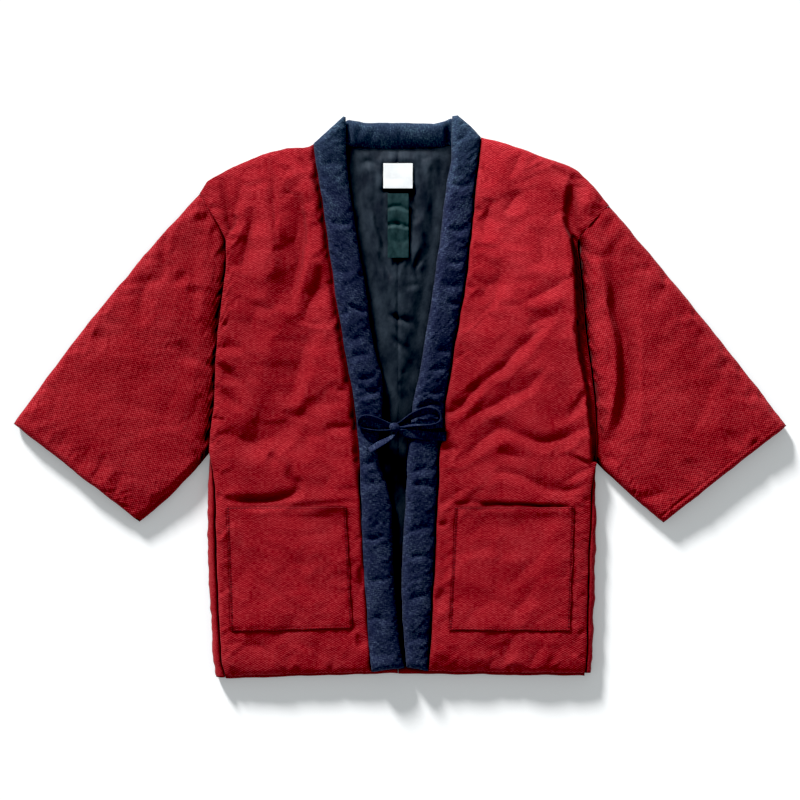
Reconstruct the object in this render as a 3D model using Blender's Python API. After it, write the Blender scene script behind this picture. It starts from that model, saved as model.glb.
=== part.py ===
"""A hanten, the padded Japanese jacket, laid flat on its back with its fronts tied.

Sizes are in millimetres here and become metres when a mesh is made. Y runs up the
jacket from hem to neck, Z up from the surface it lies on. Left and right are as seen
from above. The back lies on the surface, its lining on it, and the fronts, the collar
and the ties on that. The sleeves are flattened tubes, and the gussets are the side
strips that wrap from the fronts to the back.
"""

import math
from collections import namedtuple

import bmesh
import bpy
import numpy as np
from mathutils import Vector
from mathutils.bvhtree import BVHTree

MM = 0.001

# Layers and clearances. A margin is a distance in from an edge, and the rise after it
Margin = namedtuple("Margin", "inset ramp")
SEAM_GAP = 0.3
BACK_THICKNESS = 11.0
LINING_THICKNESS = 1.5
LINING_PUFF = 5.0
LINING_PUFF_STARTS = Margin(28.0, 14.0)
LINING_NECK_STARTS = Margin(4.0, 10.0)
FRONT_FLOOR = BACK_THICKNESS + SEAM_GAP + LINING_THICKNESS + SEAM_GAP
RIM = 2.0
FRONT_CROWN = 15.0
COLLAR_CROWN = 21.0
COLLAR_PINCH = 4.0
NECK_CROWN = 25.0
SLEEVE_CROWN = 25.0
SLEEVE_SLIT = (10.4, 12.8)
GUSSET_CROWN = 23.0
GUSSET_SLIT = (10.2, 12.4)
GUSSET_WALL = 8.0
POCKET_THICKNESS = 2.2
LABEL_THICKNESS = 1.0
TIE_WIDTH = 14.0
TIE_THICKNESS = 2.0
TIE_LIFT = 0.5
TIE_SPAN_Z = 29.0
KNOT_CENTRE_Z = TIE_SPAN_Z + 8.0

# How far each edge's rounding reaches inwards, and the share of the height left at it
Edge = namedtuple("Edge", "reach low")
FOLDED_EDGE = Edge(14.0, 0.0)
SEAM_EDGE = Edge(11.0, 0.25)
ARMHOLE_EDGE = Edge(17.0, 0.0)
SLEEVE_HEAD_EDGE = Edge(24.0, 0.3)
CUFF_EDGE = Edge(7.0, 0.55)
HEM_EDGE = Edge(9.0, 0.15)
BAND_EDGE = Edge(20.0, 0.1)
FLAT_EDGE = Edge(1.0, 1.0)
UNDERSIDE_INSET = 4.0
UNDERSIDE_ROUND = 4.0
MOST_INSET = 0.3
LEAST_LOFT = 1.0

# A row for each section of the body, from shoulder to hem: where it meets the armhole or
# side seam, the collar's seam and the collar's free edge, and its mesh rows to the next
Row = namedtuple("Row", "side_x side_y seam_x seam_y fold_x fold_y steps")
LEFT_ROWS = [
    Row(-300.5, 308, -129, 382, -81, 381, 2),
    Row(-288, 289.5, -124.5, 354, -80, 354, 1),
    Row(-274.5, 267, -119, 322.5, -76.5, 322.5, 1),
    Row(-259.5, 238.5, -113, 283.5, -70.5, 285, 2),
    Row(-260, 193.5, -106, 231, -63, 234, 2),
    Row(-265, 148.5, -98, 175.5, -53, 178.5, 2),
    Row(-271.5, 103.5, -91, 126, -46, 124.5, 1),
    Row(-275, 58.5, -82.5, 81, -40, 81, 2),
    Row(-276, 13.5, -75, 37.5, -27, 37.5, 1),
    Row(-278, -19.5, -68, -1.5, -25.5, -1.5, 1),
    Row(-283, -49.5, -64, -34.5, -25.5, -33, 1),
    Row(-285, -79.5, -61, -69, -35, -69, 1),
    Row(-279, -106.5, -59, -97.5, -30, -97.5, 1),
    Row(-275, -133.5, -58, -129, -20, -127.5, 1),
    Row(-274, -162, -57, -161, -12, -160.5, 3),
    Row(-273, -223.5, -55, -223.5, -10.5, -226.5, 2),
    Row(-271, -286.5, -51.5, -286.5, -6, -289.5, 2),
    Row(-268, -348, -47, -342, -1, -346.5, 2),
    Row(-265.5, -393, -44, -391, 4.5, -389, 1),
    Row(-263, -408, -42.6, -402.5, 6.3, -398, 1),
    Row(-262.5, -415.5, -42, -409, 7, -403.5, 0),
]
RIGHT_ROWS = [
    Row(313.5, 291, 121.5, 392, 77, 388.5, 2),
    Row(298.5, 277, 118, 358.5, 76.5, 358.5, 1),
    Row(282, 259.5, 115, 325.5, 71, 325.5, 1),
    Row(265.5, 238.5, 111, 285, 65, 286.5, 2),
    Row(269, 196.5, 106, 237, 60, 238.5, 2),
    Row(274, 148.5, 100, 181.5, 52, 181.5, 2),
    Row(277.5, 103.5, 91, 127.5, 43.5, 124.5, 1),
    Row(283, 58.5, 82, 81, 36, 81, 2),
    Row(289, 16.5, 76, 37.5, 30, 40.5, 1),
    Row(292.5, -19.5, 68, -4.5, 19.5, -6, 1),
    Row(294.5, -55.5, 67, -37.5, 15, -42, 1),
    Row(293, -94.5, 60, -72, 12, -70.5, 1),
    Row(288, -115.5, 59, -100.5, 10.5, -100.5, 1),
    Row(285, -136.5, 58, -130.5, 9.5, -130.5, 1),
    Row(284, -162, 56.5, -162, 8, -162, 3),
    Row(281.5, -223.5, 53.5, -226.5, 4, -223.5, 2),
    Row(279, -286.5, 50, -286.5, 2, -286.5, 2),
    Row(278, -346.5, 47, -345, 5, -345, 2),
    Row(277.8, -390, 44, -388, 8.4, -386, 1),
    Row(277.6, -404, 43.2, -401.5, 9.2, -396.5, 1),
    Row(277.5, -411, 43, -408, 9.5, -402, 0),
]
SHOULDER_BEND_ROWS = 4
BACK_BEND_ROWS = 3
UNDERARM_ROW = 11
POCKET_TOP_ROW = 14
POCKET_FOOT_ROW = 17
BACK_HEM_DROP = {-1: (4.5, 3.5), 1: (5.0, 4.0)}

# The shoulders' outline from the armhole to the neck seam, and the neck's outline
Point = namedtuple("Point", "x y")
SHOULDER = {
    -1: [
        Point(-300.5, 308),
        Point(-289.5, 325.5),
        Point(-276, 334.5),
        Point(-240, 352.5),
        Point(-204, 367.5),
        Point(-168, 376.5),
        Point(-150, 376.5),
        Point(-138, 377),
        Point(-129, 382),
    ],
    1: [
        Point(313.5, 291),
        Point(300, 306),
        Point(283.5, 326),
        Point(264, 344.5),
        Point(246, 352.5),
        Point(210, 364.5),
        Point(156, 385),
        Point(121.5, 392),
    ],
}
NECK_SEAM = {
    -1: [Point(-129, 382), Point(-79.5, 377), Point(-3, 373.5)],
    1: [Point(121.5, 392), Point(75, 378), Point(-3, 373.5)],
}
NECK_OUTLINE = [
    Point(-126, 384.5),
    Point(-84, 421),
    Point(-75, 418.5),
    Point(-57, 415),
    Point(-2, 414.5),
    Point(42, 414),
    Point(52.5, 412.5),
    Point(64, 416),
    Point(78, 423),
    Point(87, 423),
    Point(103.5, 408.5),
    Point(118.5, 395),
]
COLLAR_CORNER = {
    -1: [
        (Point(-84.5, 423.5), Point(-81, 422)),
        (Point(-106.5, 402), Point(-81.5, 400.5)),
    ],
    1: [
        (Point(86.5, 425), Point(78, 424)),
        (Point(105.5, 409.5), Point(77, 406.5)),
    ],
}
NECK_HALF_SPAN = 126.0
NECK_SHOWS = (-76.0, 70.5)
NECK_RAMP = 8.0
CENTRE_SEAM_X = -3.0
CENTRE_TOP_Y = 373.5
CENTRE_HEM_Y = -408.5

# Mesh columns from side to centre, as shares of the width. Pockets start and end on one
FRONT_COLUMNS = {
    -1: [0, 0.022, 0.069, 0.13, 0.2, 0.27, 0.34, 0.41, 0.48, 0.55, 0.62, 0.69, 0.76]
    + [0.83, 0.891, 0.95, 0.982, 1],
    1: [0, 0.022, 0.055, 0.102, 0.17, 0.24, 0.31, 0.38, 0.45, 0.52, 0.59, 0.66, 0.73]
    + [0.8, 0.884, 0.945, 0.982, 1],
}
POCKET_COLUMNS = {-1: (2, 14), 1: (3, 14)}
BACK_COLUMNS = [0, 0.02, 0.06, 0.2, 0.36, 0.5, 0.6, 0.68, 0.752, 0.775, 0.83, 0.915, 1]
LINING_FIRST_COLUMN = 6
NECK_ROWS = [0, 0.12, 0.35, 0.65, 0.88, 1]
COLLAR_COLUMNS = [0, 0.08, 0.22, 0.4, 0.6, 0.78, 0.92, 1]
SLEEVE_ROWS = [0, 0.03, 0.08, 0.15, 0.23, 0.32, 0.42, 0.52, 0.62, 0.72, 0.82, 0.91]
SLEEVE_ROWS += [0.97, 1]

# The cuffs' ends, and how far the sleeves' upper and lower edges bow out
Cuff = namedtuple("Cuff", "top_x top_y foot_x foot_y top_bow foot_bow")
CUFFS = {
    -1: Cuff(-580, -37, -391, -184, 8, 5),
    1: Cuff(580, -40, 395, -185, 3, 1.5),
}

# The gussets' outer side in cross-section, as a share of the width and a height under the
# crown, and their outer edges beside each body section below the underarm
Bulge = namedtuple("Bulge", "share below_crown")
GUSSET_BULGE = [Bulge(0, 5), Bulge(0.3, 1.5), Bulge(0.6, 1), Bulge(0.9, 6), Bulge(1, 12)]
Strip = namedtuple("Strip", "x y")
GUSSET_EDGE = {
    -1: [
        Strip(-288, -114),
        Strip(-288.5, -136),
        Strip(-289, -162),
        Strip(-288.5, -225),
        Strip(-286.5, -288),
        Strip(-283, -350),
        Strip(-280, -394),
        Strip(-277.5, -410),
        Strip(-275, -418),
    ],
    1: [
        Strip(292.5, -119),
        Strip(293.5, -138),
        Strip(294.5, -162),
        Strip(294, -224),
        Strip(292, -288),
        Strip(289.5, -347),
        Strip(288.5, -391),
        Strip(287.8, -405),
        Strip(287, -411),
    ],
}
GUSSET_TIP = 0.2
GUSSET_TIP_WIDTH = 1.5

# The largest folds: a line through three points, half the trough's width and its depth
Fold = namedtuple("Fold", "x0 y0 xm ym x1 y1 width depth")
FRONT_FOLDS = {
    -1: [
        Fold(-192, 358, -165, 284, -171, 148, 16, 6),
        Fold(-222, 278, -231, 238, -242, 196, 9, 3),
        Fold(-136, 182, -138, 148, -147, 104, 12, 3.5),
        Fold(-276, 56, -258, 40, -238, 27, 9, 3.5),
        Fold(-267, 9, -254, 3, -238, -8, 9, 3),
        Fold(-267, -58, -240, -68, -212, -66, 13, 6),
        Fold(-174, 70, -172, 20, -198, -26, 13, 4),
        Fold(-110, 4, -141, -12, -168, -39, 11, 5),
        Fold(-69, -44, -87, -46, -106, -48, 9, 3),
        Fold(-165, -94, -162, -122, -159, -142, 9, 4),
        Fold(-159, -144, -204, -148, -254, -147, 9, 5),
    ],
    1: [
        Fold(244, 332, 252, 280, 261, 238, 12, 10),
        Fold(82, -20, 150, 40, 204, 93, 10, 6),
        Fold(244, 172, 218, 154, 188, 134, 11, 3),
        Fold(184, 309, 160, 292, 135, 274, 12, 2.5),
        Fold(74, -70, 136, -56, 160, -45, 10, 5),
        Fold(160, -45, 204, -63, 279, -42, 10, 6),
        Fold(147, -112, 180, -111, 213, -126, 10, 5),
        Fold(213, -126, 244, -128, 279, -102, 11, 6.5),
    ],
}
SLEEVE_FOLDS = {
    -1: [
        Fold(-378, 178, -354, 176, -324, 172, 13, 5),
        Fold(-354, 212, -356, 148, -345, 104, 15, 3),
        Fold(-458, -106, -435, -94, -414, -106, 12, 3),
        Fold(-510, -62, -486, -50, -465, -62, 12, 3),
        Fold(-420, 58, -402, -2, -375, -62, 20, 4),
    ],
    1: [
        Fold(318, 220, 328, 88, 338, -62, 17, 6),
        Fold(296, 226, 309, 220, 321, 214, 11, 3),
        Fold(360, 148, 375, 58, 402, -32, 20, 4),
        Fold(360, -142, 382, -136, 402, -142, 10, 3),
    ],
}
COLLAR_FOLDS = {
    -1: [
        Fold(-66, -8, -45, -3, -26, 4, 8, 3),
        Fold(-60, -97, -45, -95, -30, -92, 7, 2.5),
        Fold(-112, 270, -92, 262, -72, 264, 8, 2),
        Fold(-88, 110, -68, 104, -48, 106, 8, 2),
    ],
    1: [
        Fold(118, 330, 95, 318, 72, 322, 8, 2),
        Fold(98, 170, 78, 160, 55, 165, 8, 2),
        Fold(58, -128, 40, -122, 12, -124, 7, 2.5),
        Fold(54, -235, 30, -230, 6, -232, 8, 2),
    ],
}
TIE_LEVEL_Y = -42.0
TIE_PINCH_SPAN = 34.0

# A rectangle on the lining's centre line for each label
Label = namedtuple("Label", "name left right foot top")
LABELS = [
    Label("label_white", -25, 19, 315.5, 353),
    Label("label_green", -18.5, 13, 211.5, 308),
]

# The bow: the straps' middle lines, how far each leans from flat, and the knot
Strap = namedtuple("Strap", "x y lean")
STRAPS = {
    "tie_left_root": [
        Strap(-62, -34, 4),
        Strap(-44, -36, 0),
        Strap(-12, -42, 0),
    ],
    "tie_right_root": [
        Strap(64, -36, 4),
        Strap(40, -38, 0),
        Strap(-2, -43, 0),
    ],
    "tie_left_loop": [
        Strap(-11, -39, 80),
        Strap(-17.5, -36.5, 78),
        Strap(-31, -30, 62),
        Strap(-46, -25.5, 62),
        Strap(-57, -26, 65),
        Strap(-61.5, -33, 70),
        Strap(-58, -42, 65),
        Strap(-46, -48, 62),
        Strap(-31, -50, 62),
        Strap(-17.5, -47, 78),
        Strap(-11, -45.5, 80),
    ],
    "tie_right_loop": [
        Strap(-5, -36, 80),
        Strap(2, -32.5, 76),
        Strap(12, -27, 66),
        Strap(26, -19, 62),
        Strap(41, -13.5, 62),
        Strap(53, -16, 66),
        Strap(58, -25, 68),
        Strap(50, -33, 64),
        Strap(34, -37, 62),
        Strap(18, -38.5, 68),
        Strap(6, -40, 76),
        Strap(-3, -41.5, 80),
    ],
    "tie_left_tail": [
        Strap(-7, -49.5, 70),
        Strap(-12, -56, 60),
        Strap(-23, -63, 50),
        Strap(-35, -70, 42),
        Strap(-46, -77, 36),
    ],
    "tie_right_tail": [
        Strap(-1.5, -46.5, 70),
        Strap(4.5, -50, 54),
        Strap(14, -53.5, 26),
        Strap(34, -55.5, 6),
        Strap(52, -56, 2),
        Strap(68.5, -56, 0),
    ],
}
STRAP_STEPS = 4
STRAP_PROBES = 11
STRAP_LEVEL_REACH = 2
Lump = namedtuple("Lump", "x y long wide tall turn")
KNOT = Lump(-8, -42.5, 16, 14, 14, -24)

MATERIALS = {
    "red_cotton": ((0.36, 0.016, 0.022, 1), 0.9),
    "navy_cotton": ((0.014, 0.02, 0.058, 1), 0.92),
    "lining_satin": ((0.02, 0.023, 0.032, 1), 0.45),
    "label_white": ((0.86, 0.84, 0.83, 1), 0.6),
    "label_green": ((0.018, 0.06, 0.058, 1), 0.55),
}


def clear_scene():
    for obj in list(bpy.data.objects):
        bpy.data.objects.remove(obj)


def material(name):
    """The named fabric's plain material, made once."""
    found = bpy.data.materials.get(name)
    if found:
        return found
    colour, roughness = MATERIALS[name]
    made = bpy.data.materials.new(name)
    made.use_nodes = True
    shader = made.node_tree.nodes["Principled BSDF"]
    shader.inputs["Base Color"].default_value = colour
    shader.inputs["Roughness"].default_value = roughness
    shader.inputs["Metallic"].default_value = 0.0
    return made


def make_object(name, points, faces, fabric):
    """One closed solid from points in millimetres, with its faces turned outwards."""
    mesh = bpy.data.meshes.new(name)
    mesh.from_pydata([tuple(c * MM for c in p) for p in points], [], faces)
    shaped = bmesh.new()
    shaped.from_mesh(mesh)
    bmesh.ops.recalc_face_normals(shaped, faces=shaped.faces)
    shaped.to_mesh(mesh)
    shaped.free()
    mesh.materials.append(material(fabric))
    mesh.shade_smooth()
    mesh.set_sharp_from_angle(angle=math.radians(50))
    obj = bpy.data.objects.new(name, mesh)
    bpy.context.scene.collection.objects.link(obj)
    return obj


def curve_through(points, steps):
    """Points on a smooth curve through the given ones, with so many steps to each next."""
    points = np.asarray(points, float)
    before = np.vstack([2 * points[0] - points[1], points])
    padded = np.vstack([before, 2 * points[-1] - points[-2]])
    made = []
    for i in range(len(points) - 1):
        a, b, c, d = padded[i : i + 4]
        for t in np.arange(steps[i]) / steps[i]:
            bend = (2 * a - 5 * b + 4 * c - d) * t**2 + (3 * b - a - 3 * c + d) * t**3
            made.append(b + 0.5 * ((c - a) * t + bend))
    made.append(points[-1])
    return np.array(made)


def section_lines(side):
    """The mesh rows' ends at the side, the collar's seam and the collar's free edge."""
    rows = LEFT_ROWS if side < 0 else RIGHT_ROWS
    values = [row[:6] for row in rows]
    lines = curve_through(values, [row.steps for row in rows])
    return lines[:, 0:2], lines[:, 2:4], lines[:, 4:6]


def mesh_row(side, section):
    """Which mesh row a section's row is."""
    rows = LEFT_ROWS if side < 0 else RIGHT_ROWS
    return sum(row.steps for row in rows[:section])


def shift_out(line, away_from, gap=SEAM_GAP):
    """The line moved sideways by the gap, away from the line beside it."""
    along = np.gradient(line, axis=0)
    normal = np.stack([-along[:, 1], along[:, 0]], axis=1)
    normal /= np.linalg.norm(normal, axis=1, keepdims=True)
    facing = np.sign(((line - away_from) * normal).sum(axis=1, keepdims=True))
    return line + normal * facing * gap


def ruled(first, last, shares):
    """A grid of plan points on straight rows from the first line to the last."""
    shares = np.asarray(shares)[None, :, None]
    return first[:, None] * (1 - shares) + last[:, None] * shares


def bend_top(grid, outline, depth_rows):
    """Pulls the grid's top row onto an outline, and the rows below it less and less."""
    outline = np.asarray(outline, float)
    order = np.argsort(outline[:, 0])
    wanted = np.interp(grid[0, :, 0], outline[order, 0], outline[order, 1])
    lift = wanted - grid[0, :, 1]
    fade = np.clip(1 - np.arange(len(grid)) / depth_rows, 0, 1) ** 2
    bent = grid.copy()
    bent[:, :, 1] += fade[:, None] * lift[None, :]
    return bent


def relief(plan, folds):
    """How far the folds lower each plan point: soft troughs round three-point lines."""
    total = np.zeros(plan.shape[:-1])
    for fold in folds:
        ends = np.array([fold[0:2], fold[2:4], fold[4:6]], float)
        nearest = np.full(plan.shape[:-1], np.inf)
        for start, end in zip(ends[:-1], ends[1:]):
            run = end - start
            share = np.clip(((plan - start) @ run) / (run @ run), 0, 1)
            off = plan - (start + share[..., None] * run)
            nearest = np.minimum(nearest, np.linalg.norm(off, axis=-1))
        total += fold.depth * np.exp(-((nearest / fold.width) ** 2))
    return total


def rounding(distance, edge):
    """The share of the full height at a distance in from a rounded edge."""
    share = np.clip(distance / edge.reach, 0, 1)
    return edge.low + (1 - edge.low) * np.sqrt(1 - (1 - share) ** 2)


def margin_rise(distance, margin):
    """A share that rises from 0 at a margin's inset to 1 at its ramp's end."""
    return np.clip((distance - margin.inset) / margin.ramp, 0, 1)


def pillow(plan, edges):
    """The share of the full height at each grid point, from its four rounded edges."""
    first_row, last_row, first_column, last_column = edges

    def reach(border):
        return np.linalg.norm(plan - border, axis=-1)

    share = rounding(reach(plan[:1]), first_row)
    share = share * rounding(reach(plan[-1:]), last_row)
    share = share * rounding(reach(plan[:, :1]), first_column)
    return share * rounding(reach(plan[:, -1:]), last_column)


def border(rows, columns):
    """The grid's border points in order round it, as rows and columns."""
    top = [(0, c) for c in range(columns)]
    right = [(r, columns - 1) for r in range(1, rows)]
    foot = [(rows - 1, c) for c in range(columns - 2, -1, -1)]
    left = [(r, 0) for r in range(rows - 2, 0, -1)]
    return top + right + foot + left


def shrunken(plan, inset):
    """The grid's points drawn in towards its middle by about the inset."""
    rows, columns = plan.shape[:2]
    wide = np.linalg.norm(plan[:, -1] - plan[:, 0], axis=-1).mean()
    tall = np.linalg.norm(np.diff(plan[:, 0], axis=0), axis=-1).sum()

    def drawn(count, size):
        share = min(inset / size, MOST_INSET)
        spots = share + np.arange(count) / (count - 1) * (1 - 2 * share)
        return spots * (count - 1)

    at_row, at_column = drawn(rows, tall), drawn(columns, wide)
    low = np.minimum(at_row.astype(int), rows - 2)
    part = (at_row - low)[:, None, None]
    between = plan[low] * (1 - part) + plan[low + 1] * part
    low = np.minimum(at_column.astype(int), columns - 2)
    part = (at_column - low)[None, :, None]
    return between[:, low] * (1 - part) + between[:, low + 1] * part


def slab(name, plan, top, floor, fabric, round_under=False):
    """A solid between a flat floor and a grid of heights, with an upright rim."""
    rows, columns = plan.shape[:2]
    ring = border(rows, columns)
    points = [(*plan[r, c], top[r, c]) for r in range(rows) for c in range(columns)]
    index = {(r, c): r * columns + c for r in range(rows) for c in range(columns)}
    faces = [
        (index[r, c], index[r + 1, c], index[r + 1, c + 1], index[r, c + 1])
        for r in range(rows - 1)
        for c in range(columns - 1)
    ]
    upper = [index[spot] for spot in ring]
    lower_rings = [(plan, floor)]
    if round_under:
        inner = shrunken(plan, UNDERSIDE_INSET)
        lower_rings = [(plan, floor + UNDERSIDE_ROUND), (inner, floor)]
    for outline, height in lower_rings:
        lower = list(range(len(points), len(points) + len(ring)))
        points += [(*outline[spot], height) for spot in ring]
        for i in range(len(ring)):
            j = (i + 1) % len(ring)
            faces.append((upper[i], upper[j], lower[j], lower[i]))
        upper = lower
    faces.append(tuple(upper))
    return make_object(name, points, faces, fabric)


def skin(name, plan, below, thickness, fabric):
    """A cloth that lies on another's grid points: the same points moved out."""
    rows, columns = plan.shape[:2]
    size = rows * columns
    under = below + SEAM_GAP
    points = []
    for heights in (under, under + thickness):
        points += [(*plan[r, c], heights[r, c]) for r in range(rows) for c in range(columns)]
    faces = []
    for r in range(rows - 1):
        for c in range(columns - 1):
            i = r * columns + c
            quad = (i, i + columns, i + columns + 1, i + 1)
            faces += [quad, tuple(size + k for k in reversed(quad))]
    ring = [r * columns + c for r, c in border(rows, columns)]
    for i, a in enumerate(ring):
        b = ring[(i + 1) % len(ring)]
        faces.append((a, b, size + b, size + a))
    return make_object(name, points, faces, fabric)


def front(side):
    """A padded front panel, and the pocket sewn on it."""
    name = "left" if side < 0 else "right"
    side_line, seam_line, _ = section_lines(side)
    plan = ruled(side_line, seam_line, FRONT_COLUMNS[side])
    plan = bend_top(plan, SHOULDER[side], mesh_row(side, SHOULDER_BEND_ROWS))
    underarm = mesh_row(side, UNDERARM_ROW)
    share = pillow(plan, (FOLDED_EDGE, HEM_EDGE, SEAM_EDGE, SEAM_EDGE))
    to_side = np.linalg.norm(plan - plan[:, :1], axis=-1)
    armhole_share = share / rounding(to_side, SEAM_EDGE) * rounding(to_side, ARMHOLE_EDGE)
    share[:underarm] = armhole_share[:underarm]
    loft = FRONT_CROWN - relief(plan, FRONT_FOLDS[side])
    top = FRONT_FLOOR + RIM + np.maximum(loft, LEAST_LOFT) * share
    slab(f"front_{name}", plan, top, FRONT_FLOOR, "red_cotton")
    rows = slice(mesh_row(side, POCKET_TOP_ROW), mesh_row(side, POCKET_FOOT_ROW) + 1)
    first, last = POCKET_COLUMNS[side]
    spot = (rows, slice(first, last + 1))
    skin(f"pocket_{name}", plan[spot], top[spot], POCKET_THICKNESS, "red_cotton")


def back_half(side):
    """Half of the padded back, the lining on it, and where its neck seam runs."""
    name = "left" if side < 0 else "right"
    side_line, seam_line, fold_line = section_lines(side)
    down = (seam_line[:, 1] - seam_line[0, 1]) / (seam_line[-1, 1] - seam_line[0, 1])
    centre_y = CENTRE_TOP_Y + down * (CENTRE_HEM_Y - CENTRE_TOP_Y)
    centre = np.stack([np.full(len(down), CENTRE_SEAM_X + side * SEAM_GAP / 2), centre_y], 1)
    side_drop, centre_drop = BACK_HEM_DROP[side]
    side_line[-1, 1] -= side_drop
    centre[-1, 1] -= centre_drop
    plan = ruled(side_line, centre, BACK_COLUMNS)
    outline = SHOULDER[side][:-1] + NECK_SEAM[side]
    plan = bend_top(plan, outline, mesh_row(side, BACK_BEND_ROWS))
    free_edge = np.interp(-plan[..., 1], -fold_line[:, 1], fold_line[:, 0])
    inside = side * (free_edge - plan[..., 0])
    below_neck = plan[0, -1, 1] - plan[..., 1]
    puff = margin_rise(inside, LINING_PUFF_STARTS)
    puff = puff * margin_rise(below_neck, LINING_NECK_STARTS)
    puff = LINING_PUFF * puff**2 * (3 - 2 * puff)
    top = BACK_THICKNESS + puff
    slab(f"back_{name}", plan, top, 0.0, "red_cotton", round_under=True)
    rows = slice(1, len(plan) - 2)
    spot = (rows, slice(LINING_FIRST_COLUMN, None))
    skin(f"lining_{name}", plan[spot], top[spot], LINING_THICKNESS, "lining_satin")
    return plan[0, LINING_FIRST_COLUMN:]


def collar_front(side):
    """The padded collar band down one front, with its corner at the shoulder."""
    name = "left" if side < 0 else "right"
    _, seam_line, fold_line = section_lines(side)
    outer = shift_out(seam_line, seam_line + np.array([side * 10.0, 0]))
    corner_outer = np.array([pair[0] for pair in COLLAR_CORNER[side]])
    corner_inner = np.array([pair[1] for pair in COLLAR_CORNER[side]])
    outer = np.vstack([corner_outer, outer])
    inner = np.vstack([corner_inner, fold_line])
    plan = ruled(outer, inner, COLLAR_COLUMNS)
    share = pillow(plan, (HEM_EDGE, HEM_EDGE, BAND_EDGE, BAND_EDGE))
    pinch = np.exp(-(((plan[..., 1] - TIE_LEVEL_Y) / TIE_PINCH_SPAN) ** 2))
    loft = COLLAR_CROWN - COLLAR_PINCH * pinch - relief(plan, COLLAR_FOLDS[side])
    top = FRONT_FLOOR + RIM + loft * share
    return slab(f"collar_{name}", plan, top, FRONT_FLOOR, "navy_cotton")


def collar_neck(left_seam, right_seam):
    """The collar band's stretch behind the neck, tucked under the corners' ends."""
    seam = np.vstack([left_seam[:-1], right_seam[::-1]])
    seam = seam[np.abs(seam[:, 0] - CENTRE_SEAM_X) < NECK_HALF_SPAN]
    seam = seam + np.array([0, SEAM_GAP])
    outline = np.array(NECK_OUTLINE, float)
    rise = np.interp(seam[:, 0], outline[:, 0], outline[:, 1])
    top_line = np.stack([seam[:, 0], np.maximum(rise, seam[:, 1] + RIM)], axis=1)
    plan = ruled(top_line, seam, NECK_ROWS).transpose(1, 0, 2)
    share = pillow(plan, (FOLDED_EDGE, SEAM_EDGE, FLAT_EDGE, FLAT_EDGE))
    from_corners = np.minimum(plan[..., 0] - NECK_SHOWS[0], NECK_SHOWS[1] - plan[..., 0])
    raised = np.clip(from_corners / NECK_RAMP, 0, 1)
    under_corner = FRONT_FLOOR - 2 * SEAM_GAP
    full = NECK_CROWN - 2 * RIM
    top = 2 * RIM + (full * raised + (under_corner - 2 * RIM) * (1 - raised)) * share
    slab("collar_neck", plan, top, 0.0, "navy_cotton")


def sleeve(side):
    """A flattened padded tube from the armhole to the cuff, with a slit right through."""
    name = "left" if side < 0 else "right"
    side_line, seam_line, _ = section_lines(side)
    underarm = mesh_row(side, UNDERARM_ROW)
    armhole = shift_out(side_line, seam_line)[: underarm + 1]
    run = np.linalg.norm(np.diff(armhole, axis=0), axis=1)
    down = np.concatenate([[0], np.cumsum(run)]) / run.sum()
    cuff = CUFFS[side]
    cuff_top = np.array([cuff.top_x, cuff.top_y], float)
    cuff_foot = np.array([cuff.foot_x, cuff.foot_y], float)
    cuff_line = cuff_top + down[:, None] * (cuff_foot - cuff_top)
    plan = ruled(armhole, cuff_line, SLEEVE_ROWS).transpose(1, 0, 2)
    along = np.array(SLEEVE_ROWS)
    arch = 4 * along[:, None] * (1 - along[:, None])
    edges = [
        (armhole[0], cuff_top, cuff.top_bow, 1 - down, side),
        (armhole[-1], cuff_foot, cuff.foot_bow, down, -side),
    ]
    for start, end, rise, near, turn in edges:
        run = end - start
        outward = np.array([-run[1], run[0]]) * turn / np.linalg.norm(run)
        plan = plan + (rise * arch * near[None, :] ** 3)[..., None] * outward
    share = pillow(plan, (SLEEVE_HEAD_EDGE, CUFF_EDGE, FOLDED_EDGE, FOLDED_EDGE))
    loft = SLEEVE_CROWN - FRONT_FLOOR - RIM - relief(plan, SLEEVE_FOLDS[side])
    top = FRONT_FLOOR + RIM + loft * share
    tube = slab(f"sleeve_{name}", plan, top, 0.0, "red_cotton", round_under=True)
    cut_slit(tube, plan)


def cut_slit(tube, plan):
    """Opens the sleeve between its layers, through both of its ends."""
    inner = plan[:, 2:-2]
    past = 0.5 * (inner[0] - inner[1])
    beyond = 0.5 * (inner[-1] - inner[-2])
    inner = np.vstack([(inner[0] + past)[None], inner, (inner[-1] + beyond)[None]])
    height = np.full(inner.shape[:2], SLEEVE_SLIT[1])
    cutter = slab("slit_cutter", inner, height, SLEEVE_SLIT[0], "lining_satin")
    subtract(tube, cutter)


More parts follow.
